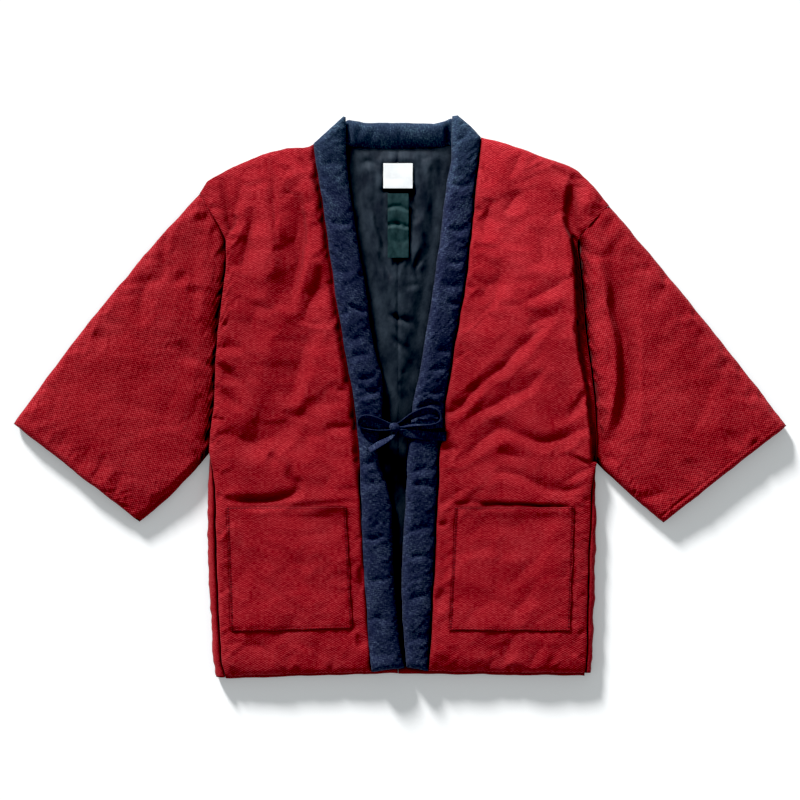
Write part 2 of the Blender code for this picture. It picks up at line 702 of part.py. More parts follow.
def gusset(side):
    """The side strip, folded round the body's edge, with the fold's slit inside it."""
    name = "left" if side < 0 else "right"
    side_line, seam_line, _ = section_lines(side)
    first = UNDERARM_ROW + 1
    rows = LEFT_ROWS if side < 0 else RIGHT_ROWS
    steps = [row.steps for row in rows[first:]]
    edge = shift_out(side_line, seam_line)
    underarm, inner = edge[mesh_row(side, UNDERARM_ROW)], edge[mesh_row(side, first) :]
    outer = curve_through(GUSSET_EDGE[side], steps)
    tip = underarm + GUSSET_TIP * (inner[0] - underarm)
    outer_tip = tip + GUSSET_TIP_WIDTH * np.array([side, -1])
    inner, outer = np.vstack([tip, inner]), np.vstack([outer_tip, outer])
    points, faces = [], []
    for start, end in zip(inner, outer):
        across = end - start
        wide = np.linalg.norm(across)
        slit_end = max(0.25, 1 - GUSSET_WALL / wide)
        crown = min(GUSSET_CROWN, GUSSET_SLIT[1] + UNDERSIDE_ROUND + wide)
        profile = [(bulge.share, crown - bulge.below_crown) for bulge in GUSSET_BULGE]
        profile += [(0.97, UNDERSIDE_ROUND), (0.8, 0), (0, 0), (0, GUSSET_SLIT[0])]
        profile += [(slit_end, height) for height in GUSSET_SLIT] + [(0, GUSSET_SLIT[1])]
        points += [(*(start + across * share), height) for share, height in profile]
    count = len(profile)
    for i in range(len(inner) - 1):
        for j in range(count):
            k = (j + 1) % count
            a, b = i * count, (i + 1) * count
            faces.append((a + j, a + k, b + k, b + j))
    faces.append(tuple(range(count)))
    last = (len(inner) - 1) * count
    faces.append(tuple(range(last, last + count)))
    make_object(f"gusset_{name}", points, faces, "red_cotton")


def label(size):
    """A woven label lying across the lining's centre seam."""
    xs = np.linspace(size.left, size.right, 3)
    ys = np.linspace(size.top, size.foot, 3)
    plan = np.stack(np.meshgrid(xs, ys), axis=-1)
    height = np.full(plan.shape[:2], BACK_THICKNESS + LINING_PUFF + SEAM_GAP)
    height = height + LINING_THICKNESS
    skin(size.name, plan, height, LABEL_THICKNESS, size.name)


def top_under(trees, x, y):
    """The highest surface of the given solids at a plan point, in millimetres."""
    start = Vector((x * MM, y * MM, 1))
    hits = [tree.ray_cast(start, Vector((0, 0, -1)))[0] for tree in trees]
    return max((hit.z / MM for hit in hits if hit), default=FRONT_FLOOR)


def strap(name, rows, trees):
    """A flat tie strap lying along its route, on whatever is under it."""
    route = curve_through(rows, [STRAP_STEPS] * (len(rows) - 1))
    along = np.gradient(route[:, :2], axis=0)
    along /= np.linalg.norm(along, axis=1, keepdims=True)
    across = np.stack([-along[:, 1], along[:, 0]], axis=1)
    lean = np.radians(route[:, 2])
    half_flat = TIE_WIDTH / 2 * np.cos(lean)
    half_tall = TIE_WIDTH / 2 * np.sin(lean)
    shares = np.linspace(-1, 1, STRAP_PROBES)
    rest = []
    for middle, sideways, reach in zip(route[:, :2], across, half_flat + TIE_THICKNESS):
        spots = [middle + sideways * reach * share for share in shares]
        rest.append(max(TIE_SPAN_Z, *(top_under(trees, *spot) for spot in spots)))
    padded = np.pad(rest, STRAP_LEVEL_REACH, mode="edge")
    spread = range(2 * STRAP_LEVEL_REACH + 1)
    rest = np.max([padded[i : i + len(rest)] for i in spread], axis=0)
    middle_z = rest + TIE_LIFT + half_tall + TIE_THICKNESS / 2 * np.cos(lean)
    points = []
    for i, (spot, sideways) in enumerate(zip(route[:, :2], across)):
        wide = np.array([*(sideways * half_flat[i]), half_tall[i]])
        thick = np.array([*(-sideways * math.sin(lean[i])), math.cos(lean[i])])
        thick = thick * TIE_THICKNESS / 2
        middle = np.array([*spot, middle_z[i]])
        for a, b in ((-1, -1), (1, -1), (1, 1), (-1, 1)):
            points.append(tuple(middle + a * wide + b * thick))
    faces = [(0, 1, 2, 3)]
    for i in range(len(route) - 1):
        a = 4 * i
        for j in range(4):
            k = (j + 1) % 4
            faces.append((a + j, a + k, a + 4 + k, a + 4 + j))
    last = len(points) - 4
    faces.append((last, last + 1, last + 2, last + 3))
    return make_object(name, points, faces, "navy_cotton")


def knot(name, grown=0.0):
    """The bow's knot, a rounded lump where the straps meet."""
    shaped = bmesh.new()
    bmesh.ops.create_icosphere(shaped, subdivisions=2, radius=0.5)
    turn = math.radians(KNOT.turn)
    points = []
    for vertex in shaped.verts:
        x = vertex.co.x * (KNOT.long + grown)
        y = vertex.co.y * (KNOT.wide + grown)
        z = vertex.co.z * (KNOT.tall + grown)
        turned_x = x * math.cos(turn) - y * math.sin(turn)
        turned_y = x * math.sin(turn) + y * math.cos(turn)
        points.append((KNOT.x + turned_x, KNOT.y + turned_y, KNOT_CENTRE_Z + z))
    faces = [tuple(v.index for v in face.verts) for face in shaped.faces]
    shaped.free()
    return make_object(name, points, faces, "navy_cotton")


def subtract(solid, cutter):
    """Cuts a hidden shape out of a solid."""
    cutter.hide_render = True
    cutter.hide_viewport = True
    cutter.display_type = "WIRE"
    modifier = solid.modifiers.new("cut", "BOOLEAN")
    modifier.operation = "DIFFERENCE"
    modifier.object = cutter


def bow():
    """The tied straps: roots from the collar's seams, two loops, two tails and a knot."""
    beneath = ["collar_left", "collar_right", "front_right", "front_left"]
    cutter = knot("knot_cutter", 2 * SEAM_GAP)
    for name, rows in STRAPS.items():
        made = strap(name, rows, trees_of(beneath))
        subtract(made, cutter)
        if name.endswith("root"):
            beneath.append(name)
    knot("tie_knot")


def trees_of(names):
    """Search trees over the named solids."""
    bpy.context.view_layer.update()
    graph = bpy.context.evaluated_depsgraph_get()
    return [BVHTree.FromObject(bpy.data.objects[name], graph) for name in names]


def build():
    clear_scene()
    neck_seams = {}
    for side in (-1, 1):
        front(side)
        neck_seams[side] = back_half(side)
        collar_front(side)
        sleeve(side)
        gusset(side)
    collar_neck(neck_seams[-1], neck_seams[1])
    for size in LABELS:
        label(size)
    bow()


build()
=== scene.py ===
"""A hanten laid flat and tied: padded cotton pieces, a satin lining and a bow of two ties.

Lengths are in millimetres and become metres when a mesh is made. X runs across the
jacket, Y up it from hem to neck and Z up from the floor. Left and right are as seen
from above. Outlines come from the frame's nodes. Creases are placed one by one.
"""

import math
from collections import namedtuple

import bmesh
import bpy
import numpy as np
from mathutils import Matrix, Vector
from mathutils.bvhtree import BVHTree


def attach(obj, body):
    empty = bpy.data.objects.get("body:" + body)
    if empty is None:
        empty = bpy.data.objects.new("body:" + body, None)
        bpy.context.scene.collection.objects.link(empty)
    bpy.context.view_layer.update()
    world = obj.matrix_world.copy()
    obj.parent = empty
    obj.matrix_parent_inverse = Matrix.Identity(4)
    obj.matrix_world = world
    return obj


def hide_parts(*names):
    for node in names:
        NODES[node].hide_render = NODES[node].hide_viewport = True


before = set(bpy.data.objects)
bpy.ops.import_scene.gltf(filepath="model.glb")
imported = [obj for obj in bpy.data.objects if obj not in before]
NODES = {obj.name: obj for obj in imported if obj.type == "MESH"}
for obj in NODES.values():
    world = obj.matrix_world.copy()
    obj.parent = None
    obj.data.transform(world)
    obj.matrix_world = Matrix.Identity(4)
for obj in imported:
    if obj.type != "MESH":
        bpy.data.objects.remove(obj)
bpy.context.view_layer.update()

MM = 0.001

# The view: straight down, as wide as the photograph's frame
FRAME_WIDTH = 1200.0
FRAME_CENTRE_Y = -1.5
FRAME_PLANE_Z = 14.0
LENS = 135.0
SENSOR = 36.0

# Layers, as in the solids
FRONT_FLOOR = 13.1
FRONT_CROWN = 30.0
COLLAR_CROWN = 36.0
SLEEVE_CROWN = 25.0
NECK_CROWN = 25.0
BACK_CROWN = 11.0
GAP = 0.3
WALL = 0.5

# How an edge rounds: how far its rounding reaches inwards, the share of the height left at
# it, the width of a lower strip along it, and its bend from 1, straight, to 2, round
Edge = namedtuple("Edge", "reach low strip bend", defaults=(0.0, 0.0, 2.0))
# Puckers along a seam: the spacing, the reach inwards and the depth
Pucker = namedtuple("Pucker", "spacing reach depth")
# A crease: its path, as X and Y in turn, its half width, its depth, the height of the ridges
# beside it and the shares of the depth left where it starts and ends
Crease = namedtuple("Crease", "path width depth ridge head tail", defaults=(0, 0.1, 0.1))
# A pleat: a face that slopes down from the lit side to its path over a reach, and steps up
Pleat = namedtuple("Pleat", "path reach step depth lip", defaults=(0,))


def norm(vectors):
    return np.linalg.norm(vectors, axis=-1)


def left_of(run):
    """The unit vector a quarter turn to the left of a run."""
    return np.array([-run[1], run[0]]) / np.linalg.norm(run)


def ramped(value, over):
    """From 0 to 1 as the value grows from 0 over a stretch."""
    return np.clip(value / over, 0, 1)


def hump(distance, height, at, width):
    """A smooth rise of a height, so wide, at a distance."""
    return height * np.exp(-(((distance - at) / width) ** 2))


def lifted(plan, heights):
    """Plan points with their heights."""
    heights = np.broadcast_to(heights, plan.shape[:-1])
    return np.concatenate([plan, heights[..., None]], axis=-1)


def added(name, data):
    obj = bpy.data.objects.new(name, data)
    bpy.context.scene.collection.objects.link(obj)
    return obj


def part_of(piece, slot, *nodes):
    """The piece rides on the root and stands for its solids. Its slot is not used."""
    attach(piece, "root")
    if nodes:
        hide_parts(*nodes)
    return piece


# Noise
def lattice(seed):
    rng = np.random.default_rng(seed)
    return rng.permutation(256), rng.uniform(0, 2 * math.pi, 256)


def noise(x, y, seed):
    """Smooth gradient noise, from about -1 to 1, with one cell to each unit."""
    order, angles = lattice(seed)
    x, y = np.broadcast_arrays(np.asarray(x, float), np.asarray(y, float))
    left, low = np.floor(x).astype(int), np.floor(y).astype(int)
    part_x, part_y = x - left, y - low

    def corner(step_x, step_y):
        angle = angles[order[(order[(left + step_x) & 255] + low + step_y) & 255]]
        return np.cos(angle) * (part_x - step_x) + np.sin(angle) * (part_y - step_y)

    ease_x = part_x**3 * (part_x * (6 * part_x - 15) + 10)
    ease_y = part_y**3 * (part_y * (6 * part_y - 15) + 10)
    lower = corner(0, 0) * (1 - ease_x) + corner(1, 0) * ease_x
    upper = corner(0, 1) * (1 - ease_x) + corner(1, 1) * ease_x
    return 1.4 * (lower * (1 - ease_y) + upper * ease_y)


# How far a seam wanders and the length of each swing: long swings and fine ones
WANDERS = [(1.1, 34.0, 3), (0.35, 11, 5)]


def wobbled(plan):
    """Plan points moved a little, so that seams run as sewn ones do."""
    x, y = plan[..., 0], plan[..., 1]
    for far, cell, seed in WANDERS:
        shift = [far * noise(x / cell, y / cell, seed + axis) for axis in (0, 1)]
        plan = plan + np.stack(shift, axis=-1)
    return plan


# Outlines from the frame
def node_points(name):
    mesh = NODES[name].data
    points = np.empty(len(mesh.vertices) * 3)
    mesh.vertices.foreach_get("co", points)
    return points.reshape(-1, 3) / MM


LEVEL_SLACK = 0.06


def ring_at(name, height):
    """The node's outline at a height, as plan points in order round it."""
    points = np.round(node_points(name), 2)
    level = np.abs(points[:, 2] - height) < LEVEL_SLACK
    _, same = np.unique(points, axis=0, return_inverse=True)
    same = same.reshape(-1)
    spots = {}
    uses = {}
    for polygon in NODES[name].data.polygons:
        corners = list(polygon.vertices)
        flat = all(level[c] for c in corners)
        for a, b in zip(corners, corners[1:] + corners[:1]):
            if level[a] and level[b] and same[a] != same[b]:
                key = tuple(sorted((same[a], same[b])))
                uses.setdefault(key, []).append(flat)
                spots[same[a]], spots[same[b]] = points[a, :2], points[b, :2]
    beside = {}
    for (a, b), flats in uses.items():
        if not all(flats):
            beside.setdefault(a, []).append(b)
            beside.setdefault(b, []).append(a)
    start = next(iter(beside))
    order, last, here = [start], None, start
    while True:
        ahead = [n for n in beside[here] if n != last]
        last, here = here, ahead[0]
        if here == start:
            break
        order.append(here)
    return np.array([spots[spot] for spot in order])


def sides_between(ring, corners):
    """The ring's stretches between its points nearest to the four corners, in order."""
    near = [int(np.argmin(np.linalg.norm(ring - np.array(c), axis=1))) for c in corners]
    if (near[1] - near[0]) % len(ring) > (near[3] - near[0]) % len(ring):
        ring = ring[::-1]
        near = [len(ring) - 1 - n for n in near]
    stretches = []
    for a, b in zip(near, near[1:] + near[:1]):
        count = (b - a) % len(ring)
        stretches.append(ring[(a + np.arange(count + 1)) % len(ring)])
    return stretches


def along(line, shares):
    """Points at shares of a line's length."""
    runs = norm(np.diff(line, axis=0))
    at = np.concatenate([[0], np.cumsum(runs)]) / runs.sum()
    return np.stack([np.interp(shares, at, line[:, i]) for i in range(line.shape[1])], -1)


EDGE_STEPS = np.array([0, 0.5, 1.2, 2.2, 3.5, 5.1, 7.0, 9.2])


def spread(size, spacing):
    """Shares from 0 to 1, closer together near both ends."""
    ends = EDGE_STEPS[EDGE_STEPS < 0.3 * size]
    inner = size - 2 * ends[-1]
    count = max(2, round(inner / spacing))
    middle = ends[-1] + inner * np.arange(1, count) / count
    spots = np.concatenate([ends, middle, size - ends[::-1]])
    return spots / size


def length_of(line):
    return norm(np.diff(line, axis=0)).sum()


def side_lengths(stretches):
    """How tall and how wide the stretch between four sides is."""
    top, right, foot, left = stretches
    tall = (length_of(left) + length_of(right)) / 2
    wide = (length_of(top) + length_of(foot)) / 2
    middle_wide = np.linalg.norm(along(left, [0.5]) - along(right[::-1], [0.5]))
    return tall, max(wide, float(middle_wide)) if wide < 0.2 * tall else wide


def patch(stretches, spacing):
    """A grid of plan points between four sides, closer together near its edges."""
    tall, wide = side_lengths(stretches)
    return filled(stretches, spread(tall, spacing), spread(wide, spacing))


def filled(stretches, down, across):
    """A grid of plan points filled in between four sides, rows down and columns across."""
    top, right, foot, left = stretches
    foot, left = foot[::-1], left[::-1]
    top, foot = along(top, across)[None], along(foot, across)[None]
    left, right = along(left, down)[:, None], along(right, down)[:, None]
    v, u = down[:, None, None], across[None, :, None]
    corners = (1 - v) * ((1 - u) * top[:, :1] + u * top[:, -1:])
    corners = corners + v * ((1 - u) * foot[:, :1] + u * foot[:, -1:])
    return (1 - v) * top + v * foot + (1 - u) * left + u * right - corners


# Heights
def rounding(distance, edge):
    inside = np.clip((distance - edge.strip) / edge.reach, 0, 1)
    bent = (1 - (1 - inside) ** edge.bend) ** (1 / edge.bend)
    share = edge.low + (1 - edge.low) * bent
    if np.any(edge.strip):
        strip = np.clip(distance / np.maximum(edge.strip, 0.1), 0, 1)
        low = edge.low * np.sqrt(1 - (1 - strip) ** 2)
        share = np.where(distance < edge.strip, low, share)
    return share


def blended(distance, first, second, share):
    """One edge's rounding turning into another's."""
    return rounding(distance, first) * (1 - share) + rounding(distance, second) * share


def reaches(plan):
    """Distances in from the first row, last row, first column and last column."""
    return [norm(plan - edge) for edge in (plan[:1], plan[-1:], plan[:, :1], plan[:, -1:])]


def runs_along(plan):
    """How far down its column and along its row each point is."""
    down = np.cumsum(norm(np.diff(plan, axis=0, prepend=plan[:1])), 0)
    return down, np.cumsum(norm(np.diff(plan, axis=1, prepend=plan[:, :1])), 1)


def pillow(plan, edges):
    share = 1.0
    for distance, edge in zip(reaches(plan), edges):
        share = share * rounding(distance, edge)
    return share


# Gathers: the cells over which they swing aside and grow calm, along a seam and in from it,
# how far they swing, how sharp their folds are and how far they rise between them
SWING_CELL = (45, 30)
CALM_CELL = (80, 90)
PUCKER_SWING = 0.6
PUCKER_SHARP = 0.45
PUCKER_RISE = 0.25


def puckered(plan, puckers, seed):
    """How far gathers along the four sides lower each point."""
    total = np.zeros(plan.shape[:-1])
    down, over = runs_along(plan)
    rows = zip(reaches(plan), [over, over, down, down], puckers)
    for seed, (distance, place, pucker) in enumerate(rows, seed):
        if not pucker:
            continue
        swing = noise(place / SWING_CELL[0], distance / SWING_CELL[1], seed) * PUCKER_SWING
        inward = distance / (2.2 * pucker.reach)
        ripple = noise(place / pucker.spacing + swing, inward, seed + 10)
        sharp = 1 - np.clip(np.abs(ripple) / PUCKER_SHARP, 0, 1)
        calm = noise(place / CALM_CELL[0], distance / CALM_CELL[1], seed + 20)
        calm = np.clip(0.75 + 0.9 * calm, 0.1, 1.4)
        fade = np.exp(-((distance / pucker.reach) ** 1.4))
        total += pucker.depth * (sharp**1.3 - PUCKER_RISE) * calm * fade
    return total


SUNWARD = np.array([-0.4, 0.92])


def beside(path, spots):
    """Each spot's distance from a path, whether it is sunward of it, and its place along it."""
    if len(path) > 2:
        path = along(smooth(path), np.linspace(0, 1, 4 * len(path)))
    runs = norm(np.diff(path, axis=0))
    starts = np.concatenate([[0], np.cumsum(runs)])
    best = np.full(len(spots), np.inf)
    signed = np.zeros(len(spots))
    place = np.zeros(len(spots))
    for i, (start, end) in enumerate(zip(path[:-1], path[1:])):
        run = end - start
        share = np.clip(((spots - start) @ run) / (run @ run), 0, 1)
        off = spots - (start + share[:, None] * run)
        distance = norm(off)
        closer = distance < best
        best = np.where(closer, distance, best)
        turn = np.sign(run[0] * off[:, 1] - run[1] * off[:, 0])
        signed = np.where(closer, turn * distance, signed)
        place = np.where(closer, (starts[i] + share * runs[i]) / starts[-1], place)
    run = path[-1] - path[0]
    sunward = np.sign(SUNWARD @ (-run[1], run[0])) * signed > 0
    return best, sunward, place


def softened(values, axis):
    """Each value averaged with the two beside it along an axis."""
    last = values.shape[axis] - 1
    before, after = (
        values.take(np.clip(np.arange(last + 1) + step, 0, last), axis) for step in (-1, 1)
    )
    return (before + 2 * values + after) / 4


# How far creases wander, how unevenly wide they are, and how many times pleats are softened
CREASE_WANDER = 2.4
CREASE_CELL = 31
UNEVEN = 0.3
SOFTENINGS = 2


def creased(plan, creases, gain=1.0):
    """How far the creases and pleats lower each plan point."""
    total = np.zeros(plan.shape[:-1])
    pleated = np.zeros(plan.shape[:-1])
    for number, crease in enumerate(creases):
        pleat = isinstance(crease, Pleat)
        if not pleat:
            crease = Crease(*crease)
        path = np.reshape(crease.path, (-1, 2)).astype(float)
        reach = 1.4 * crease.reach if pleat else 3.6 * crease.width
        low, high = path.min(0) - reach, path.max(0) + reach
        near = np.all((plan > low) & (plan < high), axis=-1)
        if not near.any():
            continue
        spots = plan[near]
        x, y = spots[:, 0] / CREASE_CELL, spots[:, 1] / CREASE_CELL
        spots = spots + CREASE_WANDER * np.stack([noise(x, y, 501), noise(x, y, 502)], axis=-1)
        best, sunward, place = beside(path, spots)
        taper = 4 * place * (1 - place)
        uneven = 1 + UNEVEN * noise(place * 4 + number, 0, 503)
        if pleat:
            slope = np.clip(1 - best / (crease.reach * uneven), 0, 1)
            drop = crease.depth * taper**0.8 * np.where(sunward, slope, hump(best, 1, 0, crease.step))
            pleated[near] = np.maximum(pleated[near], drop)
            lip = hump(best, crease.lip, crease.reach, 0.4 * crease.reach)
            total[near] -= taper**0.5 * lip * sunward
            continue
        fade = np.maximum(taper**0.75, np.where(place < 0.5, crease.head, crease.tail))
        away = best / (crease.width * (0.6 + 0.4 * fade) * uneven)
        slope = np.exp(-((away / 1.5) ** 1.2))
        step = hump(away, 0.45, 0, 0.6) + hump(away, 0.55, 0, 2.2)
        drop = crease.depth * np.where(sunward, slope, step)
        raised = np.where(sunward, 0.3, 0.8) * hump(away, crease.ridge, 2.2, 1)
        total[near] += gain * fade * (drop - raised)
    for _ in range(SOFTENINGS):
        pleated = softened(softened(pleated, 1), 0)
    return total + pleated


def smooth(points, steps=4):
    """Points on a smooth curve through the given ones."""
    points = np.asarray(points, float)
    padded = np.vstack([2 * points[0] - points[1], points, 2 * points[-1] - points[-2]])
    made = []
    for i in range(len(points) - 1):
        a, b, c, d = padded[i : i + 4]
        for t in np.arange(steps) / steps:
            bend = (2 * a - 5 * b + 4 * c - d) * t**2 + (3 * b - a - 3 * c + d) * t**3
            made.append(b + 0.5 * ((c - a) * t + bend))
    made.append(points[-1])
    return np.array(made)


def lumps(plan, big, small, seed):
    """Uneven stuffing: how far it lifts each point."""
    x, y = plan[..., 0], plan[..., 1]
    total = big * noise(x / 90, y / 80, seed) + small * noise(x / 42, y / 36, seed + 1)
    return total + 0.3 * small * noise(x / 20, y / 18, seed + 2)


# Cloth simulation: a piece's upper face settles over its stuffing. A row says its grid's
# spacing, the cloth to spare along its seams and inside them, the pressure, how firmly the
# stuffing holds it, its stiffness in bending and how far it may move
Settle = namedtuple("Settle", "spacing seam inside pressure hold bend cap")
CLOTH_SETTINGS = {
    "quality": 6,
    "mass": 0.15,
    "tension_stiffness": 12,
    "compression_stiffness": 12,
    "shear_stiffness": 4,
    "vertex_group_mass": "held",
    "pin_stiffness": 1.0,
    "vertex_group_shrink": "slack",
    "use_pressure": True,
}
SETTLE_FRAMES = 22
# How far in from a seam its slack reaches, and the most that settling lifts a point
SLACK_REACH = 26
RISE_CAP = 2.5


def cubic_weights(shares, count):
    """How much each of so many even places counts at each share of the way."""
    weights = np.zeros((len(shares), count))
    at = np.clip(np.asarray(shares) * (count - 1), 0, count - 1 - 1e-9)
    low = at.astype(int)
    t = at - low
    parts = [
        -0.5 * t + t**2 - 0.5 * t**3,
        1 - 2.5 * t**2 + 1.5 * t**3,
        0.5 * t + 2 * t**2 - 1.5 * t**3,
        -0.5 * t**2 + 0.5 * t**3,
    ]
    for shift, part in zip((-1, 0, 1, 2), parts):
        spot = np.clip(low + shift, 0, count - 1)
        np.add.at(weights, (np.arange(len(shares)), spot), part)
    return weights


def settled(stretches, heights, settle, down, across):
    """How far the simulated cloth moves each point of a finer grid, in millimetres."""
    tall, wide = side_lengths(stretches)
    rows = max(6, round(tall / settle.spacing) + 1)
    columns = max(6, round(wide / settle.spacing) + 1)
    plan = filled(stretches, np.linspace(0, 1, rows), np.linspace(0, 1, columns))
    rest = lifted(plan, heights(plan))
    mesh = bpy.data.meshes.new("settling")
    mesh.from_pydata((rest.reshape(-1, 3) * MM).tolist(), [], grid_faces(rows, columns))
    if mesh.polygons[0].normal.z < 0:
        mesh.flip_normals()
    obj = added("settling", mesh)
    held = obj.vertex_groups.new(name="held")
    sewn = {r * columns + c for r, c in border(rows, columns)}
    inner = [i for i in range(rows * columns) if i not in sewn]
    held.add(sorted(sewn), 1.0, "REPLACE")
    held.add(inner, settle.hold, "REPLACE")
    slack = obj.vertex_groups.new(name="slack")
    to_seam = np.min(reaches(plan), axis=0).ravel()
    for index, distance in enumerate(to_seam):
        slack.add([index], float(1 - math.exp(-((distance / SLACK_REACH) ** 2))), "REPLACE")
    cloth = obj.modifiers.new("cloth", "CLOTH")
    values = cloth.settings
    for key, value in CLOTH_SETTINGS.items():
        setattr(values, key, value)
    values.bending_stiffness = settle.bend
    values.shrink_min = -settle.seam
    values.shrink_max = -settle.inside
    values.uniform_pressure_force = settle.pressure
    values.effector_weights.gravity = 0
    cloth.collision_settings.use_collision = False
    cloth.point_cache.frame_end = SETTLE_FRAMES
    for frame_number in range(1, SETTLE_FRAMES + 1):
        bpy.context.scene.frame_set(frame_number)
    graph = bpy.context.evaluated_depsgraph_get()
    final = obj.evaluated_get(graph).to_mesh()
    moved = np.empty(rows * columns * 3)
    final.vertices.foreach_get("co", moved)
    bpy.data.objects.remove(obj)
    bpy.data.meshes.remove(mesh)
    bpy.context.scene.frame_set(1)
    moved = moved.reshape(rows, columns, 3) / MM - rest
    far = np.linalg.norm(moved, axis=-1, keepdims=True)
    moved = moved * np.minimum(1, settle.cap / np.maximum(far, 1e-6))
    moved[..., 2] = np.minimum(moved[..., 2], RISE_CAP)
    by_row, by_column = cubic_weights(down, rows), cubic_weights(across, columns)
    return np.einsum("ir,rck,jc->ijk", by_row, moved, by_column)


# Meshes
def mesh_object(name, points, faces, material, cloth=None):
    mesh = bpy.data.meshes.new(name)
    mesh.from_pydata((np.asarray(points) * MM).tolist(), [], faces)
    if cloth is not None:
        layer = mesh.attributes.new("cloth", "FLOAT_VECTOR", "POINT")
        layer.data.foreach_set("vector", np.asarray(cloth, float).ravel())
    shaped = bmesh.new()
    shaped.from_mesh(mesh)
    bmesh.ops.recalc_face_normals(shaped, faces=shaped.faces)
    shaped.to_mesh(mesh)
    shaped.free()
    mesh.materials.append(material)
    mesh.shade_smooth()
    return added(name, mesh)


def border(rows, columns):
    top = [(0, c) for c in range(columns)]
    right = [(r, columns - 1) for r in range(1, rows)]
    foot = [(rows - 1, c) for c in range(columns - 2, -1, -1)]
    left = [(r, 0) for r in range(rows - 2, 0, -1)]
    return top + right + foot + left


def grid_faces(rows, columns, start=0):
    corner = start + np.arange(rows * columns).reshape(rows, columns)
    quads = np.stack([corner[:-1, :-1], corner[1:, :-1], corner[1:, 1:], corner[:-1, 1:]], -1)
    return quads.reshape(-1, 4).tolist()


def ring_faces(rings, around, start=0):
    """Quads between rings of points that follow one another."""
    here = start + np.arange(rings * around).reshape(rings, around)
    ahead = np.roll(here, -1, axis=1)
    return np.stack([here[:-1], ahead[:-1], ahead[1:], here[1:]], -1).reshape(-1, 4).tolist()


def rod_faces(rings, around, start=0):
    """The same with both ends closed."""
    last = start + (rings - 1) * around
    ends = [list(range(first, first + around)) for first in (start, last)]
    return ring_faces(rings, around, start) + ends


# How far apart the weave of a piece's lower side and of its inside lie from its upper side's
UNDER_WEAVE = 40
INSIDE_WEAVE = 80


def quilted(name, plan, top, bottom, material, weave, lower_plan=None):
    """A closed padded piece between two grids of heights."""
    rows, columns = plan.shape[:2]
    size = rows * columns
    lower_plan = plan if lower_plan is None else lower_plan
    points = np.vstack([lifted(plan, top).reshape(-1, 3), lifted(lower_plan, bottom).reshape(-1, 3)])
    faces = grid_faces(rows, columns)
    faces += [quad[::-1] for quad in grid_faces(rows, columns, size)]
    ring = [r * columns + c for r, c in border(rows, columns)]
    faces += [[a, size + a, size + b, b] for a, b in zip(ring, ring[1:] + ring[:1])]
    cloth = np.vstack([weave.reshape(-1, 3), weave.reshape(-1, 3) + [0, 0, UNDER_WEAVE]])
    return mesh_object(name, points, faces, material, cloth)


def flat_weave(plan):
    return lifted(plan, 0.0)


def turned_weave(plan, start, end):
    """Weave coordinates that run along a line instead of up the jacket."""
    run = (end - start) / np.linalg.norm(end - start)
    return flat_weave(np.stack([plan @ [run[1], -run[0]], plan @ run], axis=-1))


def band_weave(plan):
    """Weave coordinates that follow a band's own length and width."""
    down, over = runs_along(plan)
    down = np.repeat(down.mean(axis=1, keepdims=True), plan.shape[1], axis=1)
    return flat_weave(np.stack([over, -down], axis=-1))


def tree_of(*objs):
    bpy.context.view_layer.update()
    graph = bpy.context.evaluated_depsgraph_get()
    return [BVHTree.FromObject(obj, graph) for obj in objs]


def top_under(trees, x, y, missing=0.0):
    start = Vector((x * MM, y * MM, 1))
    hits = [tree.ray_cast(start, Vector((0, 0, -1)))[0] for tree in trees]
    return max((hit.z / MM for hit in hits if hit), default=missing)


def heights_under(trees, plan, missing):
    flat = plan.reshape(-1, 2)
    found = [top_under(trees, x, y, missing) for x, y in flat]
    return np.array(found).reshape(plan.shape[:-1])


